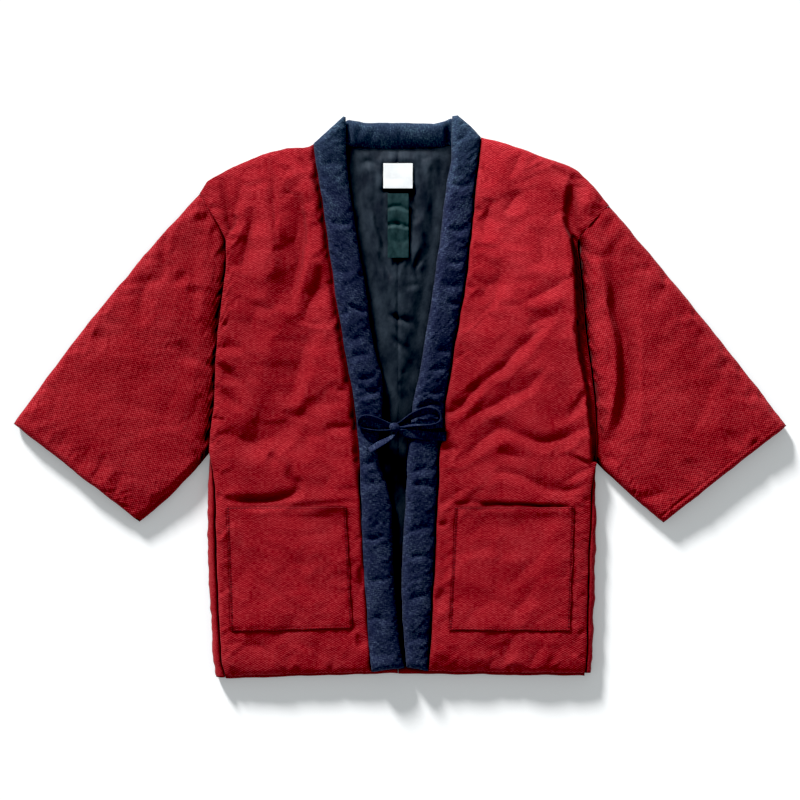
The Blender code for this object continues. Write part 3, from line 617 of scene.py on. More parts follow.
# Materials
class Shader:
    """A material under construction, with short ways to add nodes."""

    def __init__(self, name, roughness, sheen, sheen_roughness, sheen_tint, specular):
        self.material = bpy.data.materials.new(name)
        self.material.use_nodes = True
        self.tree = self.material.node_tree
        self.surface = self.tree.nodes["Principled BSDF"]
        values = {
            "Roughness": roughness,
            "Sheen Weight": sheen,
            "Sheen Roughness": sheen_roughness,
            "Sheen Tint": (*sheen_tint, 1),
            "Specular IOR Level": specular,
        }
        for key, value in values.items():
            self.surface.inputs[key].default_value = value
        place = self.tree.nodes.new("ShaderNodeAttribute")
        place.attribute_name = "cloth"
        self.place = place.outputs["Vector"]

    def node(self, kind, settings=None, **inputs):
        made = self.tree.nodes.new("ShaderNode" + kind)
        for key, value in (settings or {}).items():
            setattr(made, key, value)
        for key, value in inputs.items():
            index = int(key[1:]) if key[0] == "i" and key[1:].isdigit() else key
            self.put(made.inputs[index], value)
        return made

    def put(self, socket, value):
        if isinstance(value, bpy.types.NodeSocket):
            self.tree.links.new(value, socket)
        else:
            socket.default_value = value

    def math(self, operation, a, b=0.0, c=0.0):
        made = self.node("Math", {"operation": operation}, i0=a, i1=b, i2=c)
        return made.outputs[0]

    def scaled(self, scale, turn=0.0):
        """The weave place in cells, so many to each millimetre."""
        made = self.node("Mapping", Scale=scale, Rotation=(0, 0, turn))
        self.tree.links.new(self.place, made.inputs["Vector"])
        return made.outputs["Vector"]

    def noise(self, scale, detail=2.0, roughness=0.5, turn=0.0):
        """Noise from 0 to 1 with cells of the given sizes in millimetres."""
        cells = tuple(1 / size for size in scale)
        made = self.node(
            "TexNoise", Vector=self.scaled(cells, turn), Scale=1.0, Detail=detail
        )
        made.inputs["Roughness"].default_value = roughness
        return made.outputs["Fac"]

    def ramp(self, value, low, high):
        """The value's stretch from low to high, as 0 to 1."""
        made = self.node("MapRange", i0=value, i1=low, i2=high)
        return made.outputs[0]

    def mix(self, share, first, second):
        made = self.node("Mix", {"data_type": "RGBA"}, i0=share)
        self.put(made.inputs[6], first if not isinstance(first, tuple) else (*first, 1))
        self.put(made.inputs[7], second if not isinstance(second, tuple) else (*second, 1))
        return made.outputs[2]

    def painted_shade_mask(self, reach):
        """The mask for painted shade: from 0 deep in a fold to 1 on open cloth."""
        return self.node("AmbientOcclusion", {"samples": 6}, Distance=reach).outputs["AO"]

    def colour(self, value):
        self.put(self.surface.inputs["Base Color"], value)

    def bump(self, height, depth, strength=1.0):
        """A relief of so many millimetres between heights 0 and 1."""
        made = self.node("Bump", Strength=strength, Distance=depth * MM)
        self.put(made.inputs["Height"], height)
        self.put(self.surface.inputs["Normal"], made.outputs["Normal"])


# How far from a point cloth can be and still paint shade on it, in metres
HOLLOW = 0.03
SATIN_HOLLOW = 0.05
# Colours
RED_LIGHT = (0.535, 0.060, 0.071)
RED_MAIN = (0.262, 0.0060, 0.0117)
RED_DARK = (0.09, 0.0006, 0.002)
RED_PAINTED_SHADE = (0.012, 0.0, 0.0002)
NAVY_LIGHT = (0.082, 0.112, 0.178)
NAVY_FLECK_HIGH = (0.090, 0.165, 0.225)
NAVY_MAIN = (0.0180, 0.0230, 0.054)
NAVY_DARK = (0.0068, 0.0085, 0.027)
NAVY_TEAL_HIGH = (0.040, 0.105, 0.135)
SATIN_LIGHT = (0.028, 0.038, 0.052)
SATIN_DARK = (0.007, 0.010, 0.017)
SATIN_PAINTED_SHADE = (0.0008, 0.0008, 0.0018)
WHITE_COLOURS = (0.80, 0.82, 0.835), (0.86, 0.875, 0.885)
GREEN_COLOURS = (0.005, 0.017, 0.020), (0.018, 0.045, 0.050)
THREAD_RED = (0.09, 0.002, 0.005)
FLOOR_COLOUR = (0.93, 0.935, 0.94, 1)
SKY_COLOUR = (0.91, 0.98, 1.0, 1)
# The red cloth's raised cells, and the labels' ribs, in millimetres
CELL_WIDE = 5.7
CELL_TALL = 3.35
RIB = 1.2


def red_cotton():
    """Dobby cotton: staggered raised cells, slightly uneven, with a dry bloom."""
    made = Shader("red_cotton", roughness=0.88, sheen=0.09, sheen_roughness=0.45,
                  sheen_tint=(1.0, 0.52, 0.52), specular=0.09)
    drift = made.noise((26, 26, 26), 2.0)
    separate = made.node("SeparateXYZ", Vector=made.place)
    x = made.math("MULTIPLY_ADD", drift, 3.0, separate.outputs["X"])
    y = made.math("MULTIPLY_ADD", drift, 2.0, separate.outputs["Y"])
    wave_x = made.math("COSINE", made.math("MULTIPLY", x, 2 * math.pi / CELL_WIDE))
    wave_y = made.math("COSINE", made.math("MULTIPLY", y, 2 * math.pi / CELL_TALL))
    cell = made.math("MULTIPLY", wave_x, wave_y)
    cell = made.math("MULTIPLY_ADD", cell, 0.5, 0.5)
    thread = made.noise((1.1, 0.5, 1.0), 3.0, 0.7)
    relief = made.math("MULTIPLY_ADD", thread, 0.45, cell)
    patchy = made.noise((48, 62, 50), 4.0, 0.55)
    fleck = made.noise((5.5, 2.4, 4.0), 2.0, 0.6)
    tone = made.math("MULTIPLY_ADD", cell, 0.44, made.math("MULTIPLY", fleck, 0.74))
    tone = made.math("MULTIPLY_ADD", patchy, 0.25, tone)
    dark = made.mix(made.ramp(tone, 0.15, 0.70), RED_DARK, RED_MAIN)
    lit = made.mix(made.ramp(tone, 0.66, 1.10), dark, RED_LIGHT)
    # Painted shade: deep in folds and crevices the red is mixed towards near black, by ambient occlusion
    made.colour(made.mix(made.ramp(made.painted_shade_mask(HOLLOW), 0.50, 0.92), RED_PAINTED_SHADE, lit))
    made.bump(relief, 0.55)
    return made.material


def navy_cotton():
    """Slubbed cotton: short uneven flecks across the band over a dark ground."""
    made = Shader("navy_cotton", roughness=0.92, sheen=0.04, sheen_roughness=0.5,
                  sheen_tint=(0.72, 0.8, 1.0), specular=0.08)
    slub = made.noise((5.0, 1.5, 3.0), 3.0, 0.65)
    warp = made.noise((1.3, 5.0, 3.0), 3.0, 0.65)
    patchy = made.noise((30, 38, 30), 3.0, 0.5)
    thread = made.noise((0.9, 0.7, 1.0), 2.0, 0.6)
    tone = made.math("MULTIPLY_ADD", slub, 0.75, made.math("MULTIPLY", warp, 0.45))
    tone = made.math("MULTIPLY_ADD", patchy, 0.3, tone)
    ground = made.mix(made.ramp(tone, 0.60, 0.78), NAVY_DARK, NAVY_MAIN)
    # Lighter and greener higher up: the light flecks turn teal from 0.22 m to 0.42 m in Y, and the whole
    # cloth leans towards pale teal from 0.30 m up
    spot = made.node("SeparateXYZ", Vector=made.node("NewGeometry").outputs["Position"])
    bloom = made.mix(made.ramp(spot.outputs["Y"], 0.22, 0.42), NAVY_LIGHT, NAVY_FLECK_HIGH)
    cloth = made.mix(made.ramp(tone, 0.78, 0.98), ground, bloom)
    higher_up = made.ramp(spot.outputs["Y"], 0.30, 1.25)
    made.colour(made.mix(higher_up, cloth, NAVY_TEAL_HIGH))
    made.bump(made.math("MULTIPLY_ADD", thread, 0.5, slub), 0.6)
    return made.material


def lining_satin():
    """Dark satin: a smooth face with fine crumples."""
    made = Shader("lining_satin", roughness=0.66, sheen=0.05, sheen_roughness=0.4,
                  sheen_tint=(0.7, 0.8, 1.0), specular=0.09)
    patchy = made.noise((22, 40, 30), 4.0, 0.55)
    crumple = made.noise((9, 16, 10), 4.0, 0.6)
    thread = made.noise((0.35, 3.0, 1.0), 2.0, 0.5)
    open_cloth = made.mix(made.ramp(patchy, 0.35, 0.65), SATIN_DARK, SATIN_LIGHT)
    # Painted shade: deep in folds and in the narrow gap between the collar's bands the satin is mixed
    # towards near black, by ambient occlusion
    shade = made.ramp(made.painted_shade_mask(SATIN_HOLLOW), 0.30, 0.80)
    made.colour(made.mix(shade, SATIN_PAINTED_SHADE, open_cloth))
    height = made.math("MULTIPLY_ADD", thread, 0.06, crumple)
    made.bump(height, 1.3, 0.8)
    return made.material


def woven_label(name, dark, light, sheen):
    """A closely woven label with fine ribs across it."""
    made = Shader(name, roughness=0.62, sheen=sheen, sheen_roughness=0.4, sheen_tint=light, specular=0.14)
    separate = made.node("SeparateXYZ", Vector=made.place)
    rib = made.math("SINE", made.math("MULTIPLY", separate.outputs["Y"], 2 * math.pi / RIB))
    patchy = made.noise((9, 14, 10), 3.0, 0.55)
    made.colour(made.mix(made.ramp(patchy, 0.3, 0.7), dark, light))
    made.bump(made.math("MULTIPLY_ADD", rib, 0.25, patchy), 0.22)
    return made.material


def thread_material(name, colour):
    made = Shader(name, roughness=0.7, sheen=0.2, sheen_roughness=0.4, sheen_tint=colour, specular=0.2)
    tuft = made.noise((0.8, 0.8, 0.8), 2.0)
    made.colour(made.mix(tuft, tuple(0.6 * c for c in colour), colour))
    made.bump(tuft, 0.1)
    return made.material


def floor_material():
    made = bpy.data.materials.new("floor")
    made.use_nodes = True
    surface = made.node_tree.nodes["Principled BSDF"]
    surface.inputs["Base Color"].default_value = FLOOR_COLOUR
    surface.inputs["Roughness"].default_value = 0.9
    surface.inputs["Specular IOR Level"].default_value = 0.1
    surface.inputs["Emission Color"].default_value = (1, 1, 1, 1)
    surface.inputs["Emission Strength"].default_value = FLOOR_GLOW
    return made


# The stage: camera, floor and light
def camera():
    data = bpy.data.cameras.new("camera")
    data.lens = LENS
    data.sensor_width = SENSOR
    data.clip_end = 30
    obj = added("camera", data)
    height = FRAME_WIDTH * LENS / SENSOR + FRAME_PLANE_Z
    obj.location = (0, FRAME_CENTRE_Y * MM, height * MM)
    bpy.context.scene.camera = obj


KEY_DIRECTION = (-0.51, 1.06, 0.44)
KEY_STRENGTH = 5.6
KEY_SOFTNESS = 9
AMBIENT = 0.34
BLACK_LEVEL = 0.009
# Soft pools of light on the shoulders: from, to, power and angle
POOLS = {
    "pool_right": ((-0.25, 1.0, 0.55), (0.15, 0.26, 0.02), 52, 17),
    "pool_left": ((-0.35, 0.95, 0.4), (-0.16, 0.36, 0.02), 26, 15),
}
POOL_SOFTNESS = 0.12
FLOOR_GLOW = 0.165
FLOOR_HALF = 6.0


def aimed(lamp, direction):
    lamp.rotation_euler = Vector(direction).to_track_quat("Z", "Y").to_euler()


def floor_and_light():
    corners = [(FLOOR_HALF * x, FLOOR_HALF * y, 0) for x, y in ((-1, -1), (1, -1), (1, 1), (-1, 1))]
    mesh = bpy.data.meshes.new("floor")
    mesh.from_pydata(corners, [], [(0, 1, 2, 3)])
    mesh.materials.append(floor_material())
    added("floor", mesh)
    data = bpy.data.lights.new("key", "SUN")
    data.energy = KEY_STRENGTH
    data.angle = math.radians(KEY_SOFTNESS)
    aimed(added("key", data), KEY_DIRECTION)
    for name, (place, aim, power, spread_angle) in POOLS.items():
        data = bpy.data.lights.new(name, "SPOT")
        data.energy = power
        data.spot_size = math.radians(spread_angle)
        data.spot_blend = 1.0
        data.shadow_soft_size = POOL_SOFTNESS
        lamp = added(name, data)
        lamp.location = place
        aimed(lamp, Vector(place) - Vector(aim))
    world = bpy.data.worlds.new("world")
    world.use_nodes = True
    background = world.node_tree.nodes["Background"]
    background.inputs["Color"].default_value = SKY_COLOUR
    background.inputs["Strength"].default_value = AMBIENT
    bpy.context.scene.world = world
    grade = bpy.context.scene.view_settings
    grade.view_transform = "Standard"
    grade.use_curve_mapping = True
    grade.curve_mapping.black_level = (BLACK_LEVEL, BLACK_LEVEL, BLACK_LEVEL)


# Creases and pleats, as seen from above, by side: -1 is left and 1 right. A row without a
# name is a Crease
FRONT_CREASES = {
    -1: [
        Pleat((-158, 330, -149, 285, -147, 245, -153, 200, -163, 132), 42, 6, 12.5, 5.5),
        Pleat((-241, -57, -222, -64, -203, -61, -183, -50, -165, -32, -150, -6), 70, 24, 9, 2),
        Pleat((-104, 8, -125, -8, -150, -24, -174, -34, -198, -37), 22, 16, 7),
        Pleat((-128, 120, -141, 80, -154, 40, -163, -4, -166, -38), 48, 14, 9, 1.5),
        Pleat((-110, 215, -118, 170, -134, 118), 18, 12, 3.2),
        ((-280, 334, -266, 320, -262, 300, -259, 280, -255, 250), 6, 10, 1, 0.3),
        ((-250, 280, -252, 262, -258, 246), 5, 8, 0, 0.4, 0.4),
        ((-234, 330, -243, 302, -250, 276), 7.5, 4, 1),
        ((-218, 290, -226, 245, -233, 212, -238, 186), 8.5, 6, 1),
        ((-193, 352, -190, 310, -188, 270, -186, 228), 7, 6, 0.5, 0.4), ((-172, 352, -171, 334), 4, 2.5),
        ((-190, 357, -191, 330), 5, 2), ((-176, 308, -160, 307), 3, 2),
        ((-152, 378, -144, 361, -137, 340), 5, 5, 1, 0.5), ((-116, 200, -128, 160, -146, 110), 12, 6),
        ((-266, 112, -257, 108), 5, 3), ((-278, 75, -256, 77, -233, 75), 6.5, 3, 1),
        ((-274, 53, -256, 36, -240, 27), 6.5, 4.5, 1.5), ((-273, 6, -259, 3, -238, -13), 6, 4, 1.5),
        ((-283, -31, -262, -31), 3, 3, 0.6), ((-262, -50, -240, -58, -216, -68, -206, -74), 11, 3.6, 1),
        ((-92, 18, -76, 12), 5, 1.5), ((-112, -43, -90, -44, -68, -41), 6, 2.2, 0.8),
        ((-198, -84, -183, -93), 6.5, 4), ((-165, -97, -164, -117, -157, -127, -156, -144), 6, 5, 1),
        ((-262, -150, -228, -154, -190, -151, -160, -143, -149, -124), 7, 7, 1, 0.1, 0.3),
        ((-130, -20, -140, -60, -135, -95), 10, 2, 0.5),
        ((-212, 150, -222, 110, -214, 70), 10, 2.2, 0.5),
        ((-95, -105, -110, -125, -118, -148), 8, 2, 0.6),
        ((-238, -368, -205, -372, -195, -395), 8, 2.5, 0.5),
        ((-128, -362, -122, -386, -126, -404), 7, 2, 0.5), ((-60, -250, -57, -268, -58, -284), 3.5, 2.5),
        ((-62, -352, -58, -372), 3.5, 2.5),
        ((-222, -161.5, -150, -159, -80, -153.5), 2.6, 1.8, 0, 0.8, 0.5),
    ],
    1: [
        Pleat((264, 342, 257, 318, 252, 290, 253, 262, 262, 236, 270, 205), 8, 20, 17),
        Pleat((256, 92, 265, 30, 272, -60, 275, -112), 70, 10, 7),
        ((228, 348, 244, 337, 264, 328), 6, 4, 1.5), ((224, 312, 240, 290, 247, 274), 8, 4, 1),
        ((177, 362, 170, 346, 162, 330), 7.5, 2.5, 0.8), ((136, 300, 128, 264, 124, 234), 9, 2.5, 0.6),
        ((182, 310, 169, 294, 158, 278), 9, 3, 0.8),
        ((243, 173, 222, 162, 206, 154, 190, 146), 8, 3.5, 1),
        ((232, 127, 210, 117, 190, 105), 8.5, 3, 0.8),
        ((215, 105, 180, 75, 156, 49, 133, 32, 108, 14), 7.5, 4.2, 1.4, 0.1, 0.6),
        ((120, 26, 103, 4, 92, -11, 82, -20, 62, -22), 6, 4.5, 1.4, 0.2, 0.8),
        ((215, 45, 190, 18, 158, 0, 128, -14, 92, -34), 7.5, 3.5, 1.2),
        ((100, -84, 128, -56, 148, -46, 170, -48, 200, -62), 9, 4, 1.4),
        ((176, -54, 213, -64, 242, -60, 264, -50, 281, -42), 7.5, 4.6, 1.4, 0.1, 0.7),
        ((140, -110, 175, -113, 193, -121, 216, -133), 7.5, 3.4, 1),
        ((200, -126, 230, -137, 252, -137, 272, -128), 10.5, 4.8, 1.2, 0.1, 0.4),
        ((248, -122, 265, -112, 283, -103), 6, 3.6, 1, 0.1, 0.7),
        ((283, 14, 266, -10, 254, -28), 6, 4, 1.6), ((146, -79, 164, -85, 184, -88), 8, 3, 0.8),
        ((60, -74, 74, -75, 90, -73), 5, 2.5, 0.6), ((79, -143, 95, -136), 4, 2.5),
        ((152, 210, 146, 170, 132, 130), 11, 2.2, 0.6), ((205, 255, 214, 215, 210, 190), 10, 2.2, 0.6),
        ((72, -187, 60, -188, 56, -190), 4, 2), ((168, -360, 160, -375, 156, -398), 7, 2.5, 0.8),
        ((215, -366, 200, -385, 196, -402), 8, 2.5, 0.8), ((66, -282, 58, -306, 56, -322), 6, 2.2, 0.5),
        ((84, -156.5, 170, -158.5, 250, -161), 2.2, 3.4, 0, 0.5, 0.8),
    ],
}
SLEEVE_CREASES = {
    -1: [
        ((-357, 220, -354, 200, -352, 180), 8, 5, 1),
        ((-352, 180, -368, 177, -381, 172, -386, 139, -388, 110), 9, 6.5, 2),
        ((-342, 172, -334, 178, -320, 191), 5.5, 4.5, 1.2),
        ((-320, 167, -308, 161, -296, 160), 4.5, 3.5, 0.8),
        ((-291, 296, -290, 278, -292, 260), 6, 4, 0.8), ((-322, 250, -308, 190, -310, 120), 12, 6, 0.5),
        ((-301, 278, -299, 262), 4, 3), ((-334, 86, -318, 65, -299, 56), 7, 4, 1),
        ((-350, 248, -356, 212), 8, 2.5), ((-462, 95, -450, 92, -440, 91), 9, 4, 0.8),
        ((-330, 30, -345, -10, -340, -50), 12, 2.6, 0.8), ((-425, 62, -408, 10, -382, -60), 14, 3, 1),
        ((-500, 66, -482, 30, -470, -20), 12, 2.4, 0.8),
        ((-462, -128, -452, -104, -444, -86), 9, 2.4, 1.5),
        ((-484, -112, -470, -90, -466, -70), 8, 2, 1.2), ((-520, -84, -505, -62, -498, -44), 8, 1.8, 1),
        ((-430, -152, -424, -128, -414, -108), 8, 1.8, 1), ((-300, 10, -312, -30, -310, -62), 8, 3, 0.8),
        ((-405, 205, -418, 172, -430, 150), 10, 2.4, 0.8),
    ],
    1: [
        ((321, 278, 314, 262, 305, 247), 6.5, 4, 1), ((287, 219, 297, 214, 308, 211), 4.5, 3.5, 0.8),
        ((316, 237, 320, 222, 321, 206), 5, 3.5, 0.6),
        Pleat((312, 226, 322, 165, 329, 115, 337, 60, 334, 0, 322, -50, 300, -88), 15, 22, 12, 4),
        ((302, -88, 318, -88, 332, -95), 5.5, 4, 0.8), ((359, -147, 378, -146, 400, -140), 6.5, 4, 1),
        ((392, 96, 384, 72, 388, 44), 14, 3.4, 0.8), ((440, 84, 447, 58, 443, 30), 12, 3, 0.8),
        ((402, 200, 396, 168, 382, 140), 10, 2.6, 0.8), ((470, 40, 456, -10, 430, -60), 13, 2.8, 1),
        ((500, 70, 512, 40, 508, 10), 10, 2.4, 0.8), ((380, -20, 372, -60, 352, -100), 12, 2.8, 1),
        ((448, -120, 436, -104, 430, -88), 7, 3, 1), ((512, -74, 498, -60, 490, -44), 7, 3, 1),
    ],
}
SLEEVE_BACK_CREASES = {
    -1: [
        ((-340, 200, -380, 120, -400, 40), 12, 3), ((-330, 60, -370, 0, -420, -60), 12, 3),
        ((-470, 60, -460, 0, -430, -90), 11, 2.6), ((-310, 160, -330, 100, -320, 20), 10, 2.6),
    ],
    1: [
        ((350, 190, 390, 110, 410, 30), 12, 3), ((340, 50, 380, -10, 430, -70), 12, 3),
        ((480, 50, 470, -10, 440, -95), 11, 2.6), ((320, 150, 340, 90, 330, 10), 10, 2.6),
    ],
}
COLLAR_CREASES = {
    -1: [
        ((-106, 398, -98, 392, -92, 385), 5, 1.5), ((-114, 350, -100, 352, -84, 348), 6, 1.6, 0.4),
        ((-112, 268, -92, 262, -72, 264), 4.5, 2.4, 0.6), ((-100, 195, -84, 190, -66, 192), 5, 1.8, 0.5),
        ((-76, 138, -62, 133, -43, 129), 3.25, 3.4, 1), ((-90, 126, -74, 128), 4, 2),
        ((-88, 92, -68, 90, -52, 94), 5, 1.6, 0.4), ((-78, 62, -58, 66, -40, 64), 4.5, 1.8, 0.5),
        ((-74, 34, -56, 30, -34, 36), 4.5, 2, 0.5), ((-70, 24, -50, 14, -30, 12), 4, 2.6, 0.8),
        ((-66, 4, -48, 6, -28, 14), 4, 2.6, 0.8), ((-60, -97, -45, -95, -30, -92), 4.5, 2.5, 0.6),
        ((-58, -130, -44, -126, -28, -130), 4.5, 2, 0.5),
        ((-54, -206, -40, -208, -24, -204), 4.5, 2.4, 0.6),
        ((-52, -268, -36, -272, -18, -268), 5, 1.8, 0.4),
        ((-48, -330, -34, -326, -14, -332), 5, 1.8, 0.4),
        ((-44, -386, -30, -382, -8, -386), 5, 1.6, 0.4),
    ],
    1: [
        ((104, 396, 94, 390, 84, 380), 5, 1.8), ((116, 330, 95, 318, 74, 322), 5, 2, 0.5),
        ((104, 258, 90, 252, 74, 256), 4, 2.8, 0.7), ((100, 206, 84, 204, 66, 208), 4.5, 2, 0.5),
        ((98, 176, 82, 170, 60, 172), 5, 1.8, 0.5), ((94, 144, 80, 143, 68, 146), 3.25, 3, 0.8),
        ((84, 70, 70, 72, 56, 70), 3.5, 2.6, 0.7), ((82, 44, 64, 46, 44, 40), 5, 2, 0.5),
        ((76, 10, 60, 12, 40, 6), 4.5, 2.4, 0.6), ((62, -12, 44, -8, 24, -16), 3.5, 2.8, 0.8),
        ((56, -108, 38, -104, 16, -108), 4.5, 2.2, 0.6), ((58, -134, 40, -128, 16, -130), 4.5, 2.4, 0.6),
        ((52, -196, 34, -192, 12, -198), 4.5, 2, 0.5), ((54, -240, 30, -234, 8, -236), 4.5, 2.4, 0.6),
        ((48, -300, 30, -296, 8, -302), 5, 1.8, 0.4), ((44, -360, 28, -356, 10, -362), 5, 1.8, 0.4),
    ],
}
NECK_CREASES = [
    ((-55, 413, -60, 400, -65, 388), 4, 3.6, 1.4, 0.6, 0.6),
    ((-36, 409, -40, 398, -44, 386), 3.5, 2.8, 1.2, 0.5, 0.6), ((-16, 414, -20, 402), 4, 1.8, 0.6),
    ((0, 420, 0.5, 402, 0, 386), 2.2, 2, 0.6, 0.8, 0.8), ((22, 414, 26, 402, 25, 392), 4, 1.8, 0.6),
    ((56, 413, 61, 400, 64, 388), 4, 3, 1.2, 0.6, 0.6),
]
LINING_CREASES = [
    ((-24, 311, 0, 312, 20, 311), 3, 4, 0, 0.6, 0.6), ((-50, 374, -52, 340, -46, 305), 4, 1.8, 0.6, 0.6),
    ((-24, 374, -25, 352, -30, 330), 4, 1.2, 0.4, 0.6), ((30, 374, 33, 340, 42, 300), 4, 1.6, 0.5, 0.6),
    ((54, 374, 52, 345, 56, 312), 4, 1.8, 0.5, 0.6), ((-62, 350, -50, 356, -34, 350), 5.5, 2.4, 1),
    ((-70, 345, -64, 325, -54, 312), 5.5, 3, 1), ((-42, 305, -36, 270, -24, 235, -20, 212), 5, 3, 1.2),
    ((-56, 290, -50, 250, -40, 215), 6, 2.4, 0.8), ((-34, 220, -24, 200, -12, 180), 5, 2.4, 0.8),
    ((22, 322, 18, 300, 26, 278, 22, 262), 7, 3.4, 1), ((60, 340, 60, 318, 62, 300), 4.5, 2.4, 0.8),
    ((34, 250, 46, 232, 38, 215, 20, 200), 5, 3, 1.2), ((30, 222, 24, 195, 30, 172), 4, 3, 1),
    ((44, 212, 38, 190, 46, 170), 3.5, 2.6, 1), ((-20, 128, -2, 120, 18, 112, 27, 90), 4.5, 3, 1.2),
    ((26, 100, 22, 84, 28, 66), 6, 3, 0.8), ((-14, 96, -6, 88, 6, 76, 14, 62), 3.5, 2.4, 1),
    ((2, 42, 14, 36, 28, 34), 4, 2.6, 1), ((-4, 24, 8, 16, 20, 8), 4, 3, 1),
    ((-28, 50, -18, 30, -20, 12), 4.5, 2.4, 0.8), ((-8, 8, 4, -4, 12, -18), 4, 2.4, 0.8),
    ((-40, 160, -34, 130, -32, 100), 5.5, 2, 0.6), ((6, 168, 28, 170, 44, 164), 4, 1.6, 0.6),
    ((-52, 372, -30, 366, -12, 372), 5, 2, 0.6), ((16, 370, 34, 362, 52, 368), 5, 2, 0.6),
]
LABEL_FOLDS = {
    "label_white": [
        ((-26, 330, 0, 331, 20, 329), 5, 0.5, 0.2),
    ],
    "label_green": [
        ((-22, 285, -4, 288, 16, 282), 2.4, 3, 0.8, 0.7, 0.3),
        ((-22, 259, -6, 262, 16, 257), 2.6, 5, 1.4, 0.9, 0.5),
        ((-20, 240, 0, 235, 16, 241), 5, 1.2, 0.3),
    ],
}
POCKET_CREASES = {
    -1: [
        ((-190, -172, -150, -178, -92, -172), 8, 2.2, 0.8),
        ((-214, -245, -208, -280, -210, -320), 8, 1.8, 0.7),
        ((-140, -232, -150, -262, -146, -290), 8, 1.8, 0.6),
        ((-232, -190, -236, -222, -230, -250), 6, 1.4, 0.5),
        ((-98, -230, -112, -262, -104, -300), 9, 1.2, 0.4),
    ],
    1: [
        ((238, -172, 218, -178, 196, -182), 7.5, 2, 0.7),
        ((240, -212, 214, -226, 180, -262, 164, -280), 9, 1.8, 0.8),
        ((208, -272, 184, -300, 168, -324), 8, 1.8, 0.8),
        ((140, -212, 118, -240, 110, -272), 9, 1.4, 0.4),
        ((236, -318, 214, -326, 196, -340), 6, 1.2, 0.4),
    ],
}
BACK_CREASES = [
    ((-190, 330, -150, 300, -60, 290), 13, 3.2), ((180, 340, 120, 306, 40, 296), 13, 3.2),
    ((-240, 240, -200, 180, -170, 90), 13, 3), ((245, 236, 205, 170, 180, 70), 13, 3),
    ((-120, 210, -60, 180, -14, 190), 11, 2.6), ((18, 150, 80, 128, 150, 140), 11, 2.6),
    ((-260, -30, -190, -60, -110, -50), 11.5, 3.4), ((268, -40, 200, -74, 120, -62), 11.5, 3.4),
    ((-90, 40, -50, 0, -30, -60), 12, 2.2), ((30, 50, 70, 4, 60, -58), 12, 2.2),
    ((-250, -150, -180, -180, -120, -168), 11, 2.8), ((250, -140, 190, -176, 110, -170), 11, 2.8),
    ((-190, -270, -130, -300, -60, -290), 12, 2.2), ((190, -262, 120, -292, 50, -286), 12, 2.2),
]

# The corners of each piece's outline, in order round it
FRONT_CORNERS = {
    -1: [(-300.5, 308), (-129, 382), (-42, -409), (-262.5, -415.5)],
    1: [(313.5, 291), (121.5, 392), (43, -408), (277.5, -411)],
}
BACK_CORNERS = {
    -1: [(-300.5, 308), (-3.2, 373.5), (-3.2, -412), (-262.5, -420)],
    1: [(313.5, 291), (-2.9, 373.5), (-2.9, -412), (277.5, -416)],
}
COLLAR_CORNERS = {
    -1: [(-84.5, 423.5), (-81, 422), (7, -403.5), (-42, -409)],
    1: [(86.5, 425), (78, 424), (9.5, -402), (43, -408)],
}
SLEEVE_CORNERS = {
    -1: [(-300.5, 308), (-285, -79.5), (-391, -184), (-580, -37)],
    1: [(313.5, 291), (293, -94.5), (395, -185), (580, -40)],
}
UNDERARM_Y = {-1: -79.5, 1: -94.5}
SIDE_NAMES = {-1: "left", 1: "right"}
# The spacing of the grids' points
FINE = 2.7
COARSE = 4.2
# The height of a lower face that rests on the floor, and the one that outlines are read at
REST_Z = 0.1
RING_Z = 4.0
UNDERSIDE = Edge(7.0, 0.0)
NO_EDGE = Edge(1, 1.0)


def underside(plan, middle, floor, creases=()):
    """Heights of a piece's lower face: flat where it rests, rounded at its edges."""
    share = pillow(plan, [UNDERSIDE] * 4)
    rise = np.maximum(creased(plan, creases), 0) if creases else 0.0
    return middle - WALL - (middle - WALL - floor) * share + rise * share


def stuffed(middle, crown, share):
    """Heights of a piece's upper face, from its seam to its crown."""
    return middle + WALL + (crown - middle - WALL) * share


FRONT_SETTLE = Settle(6.5, 0.014, 0.004, 1.5, 0.3, 0.3, 5.0)
FRONT_MIDDLE = FRONT_FLOOR + 3
FRONT_SHOULDER = {-1: Edge(84, 0.0, 0.0, 1.3), 1: Edge(46, 0.0)}
FRONT_HEM = {-1: Edge(46, 0.1), 1: Edge(28, 0.1)}
FRONT_SIDE = {-1: Edge(9, 0.62), 1: Edge(34, 0.5)}
FRONT_PUCKERS = [Pucker(19, 18, 1.0), Pucker(16, 16, 1.2), Pucker(17, 20, 1.5), Pucker(24, 14, 0.3)]
FRONT_OVERLAP = 1.6
LEAST_LOFT = 0.6
# The collar's seam: the front is tucked under the band, or level with it from this Y down
TUCKED = Edge(11, 0.3)
LEVEL = Edge(7, 0.75)
LEVEL_Y = -130
# The seam that joins the sleeve above the armhole's crevice, and the heights it runs between
SHOULDER_SEAM = Edge(40, 0.62, 0.0, 1.3)
SHOULDER_SEAM_Y = {-1: (238, 290), 1: (236, 248)}
ROLLED_ARMHOLE = Edge(14, 0.5)
ARMHOLE_REACH = 6
ARMHOLE_SUNK = 2.4
# How wide the low strip beside the right armhole is: Y and width
ARMHOLE_STRIP = [
    (-95, 6), (-60, 8), (-16, 11), (10, 11), (55, 17), (103, 17), (148, 14), (205, 12), (240, 12),
]


def armhole(side, plan, distance, above):
    """How the front's edge rounds at the armhole: rolled on the left, tucked in on the right."""
    ys, wides = zip(*ARMHOLE_STRIP)
    wide = np.interp(plan[..., 1], ys, wides) + 1.6 * noise(plan[..., 1] / 15, 0, 371)
    edge = ROLLED_ARMHOLE if side < 0 else Edge(ARMHOLE_REACH, 0.0, wide)
    return blended(distance, edge, SHOULDER_SEAM, above)


def seam_share(side, y):
    """From 0 at the armhole's crevice to 1 at the flat seam above it."""
    low, high = SHOULDER_SEAM_Y[side]
    return ramped(y - low, high - low)


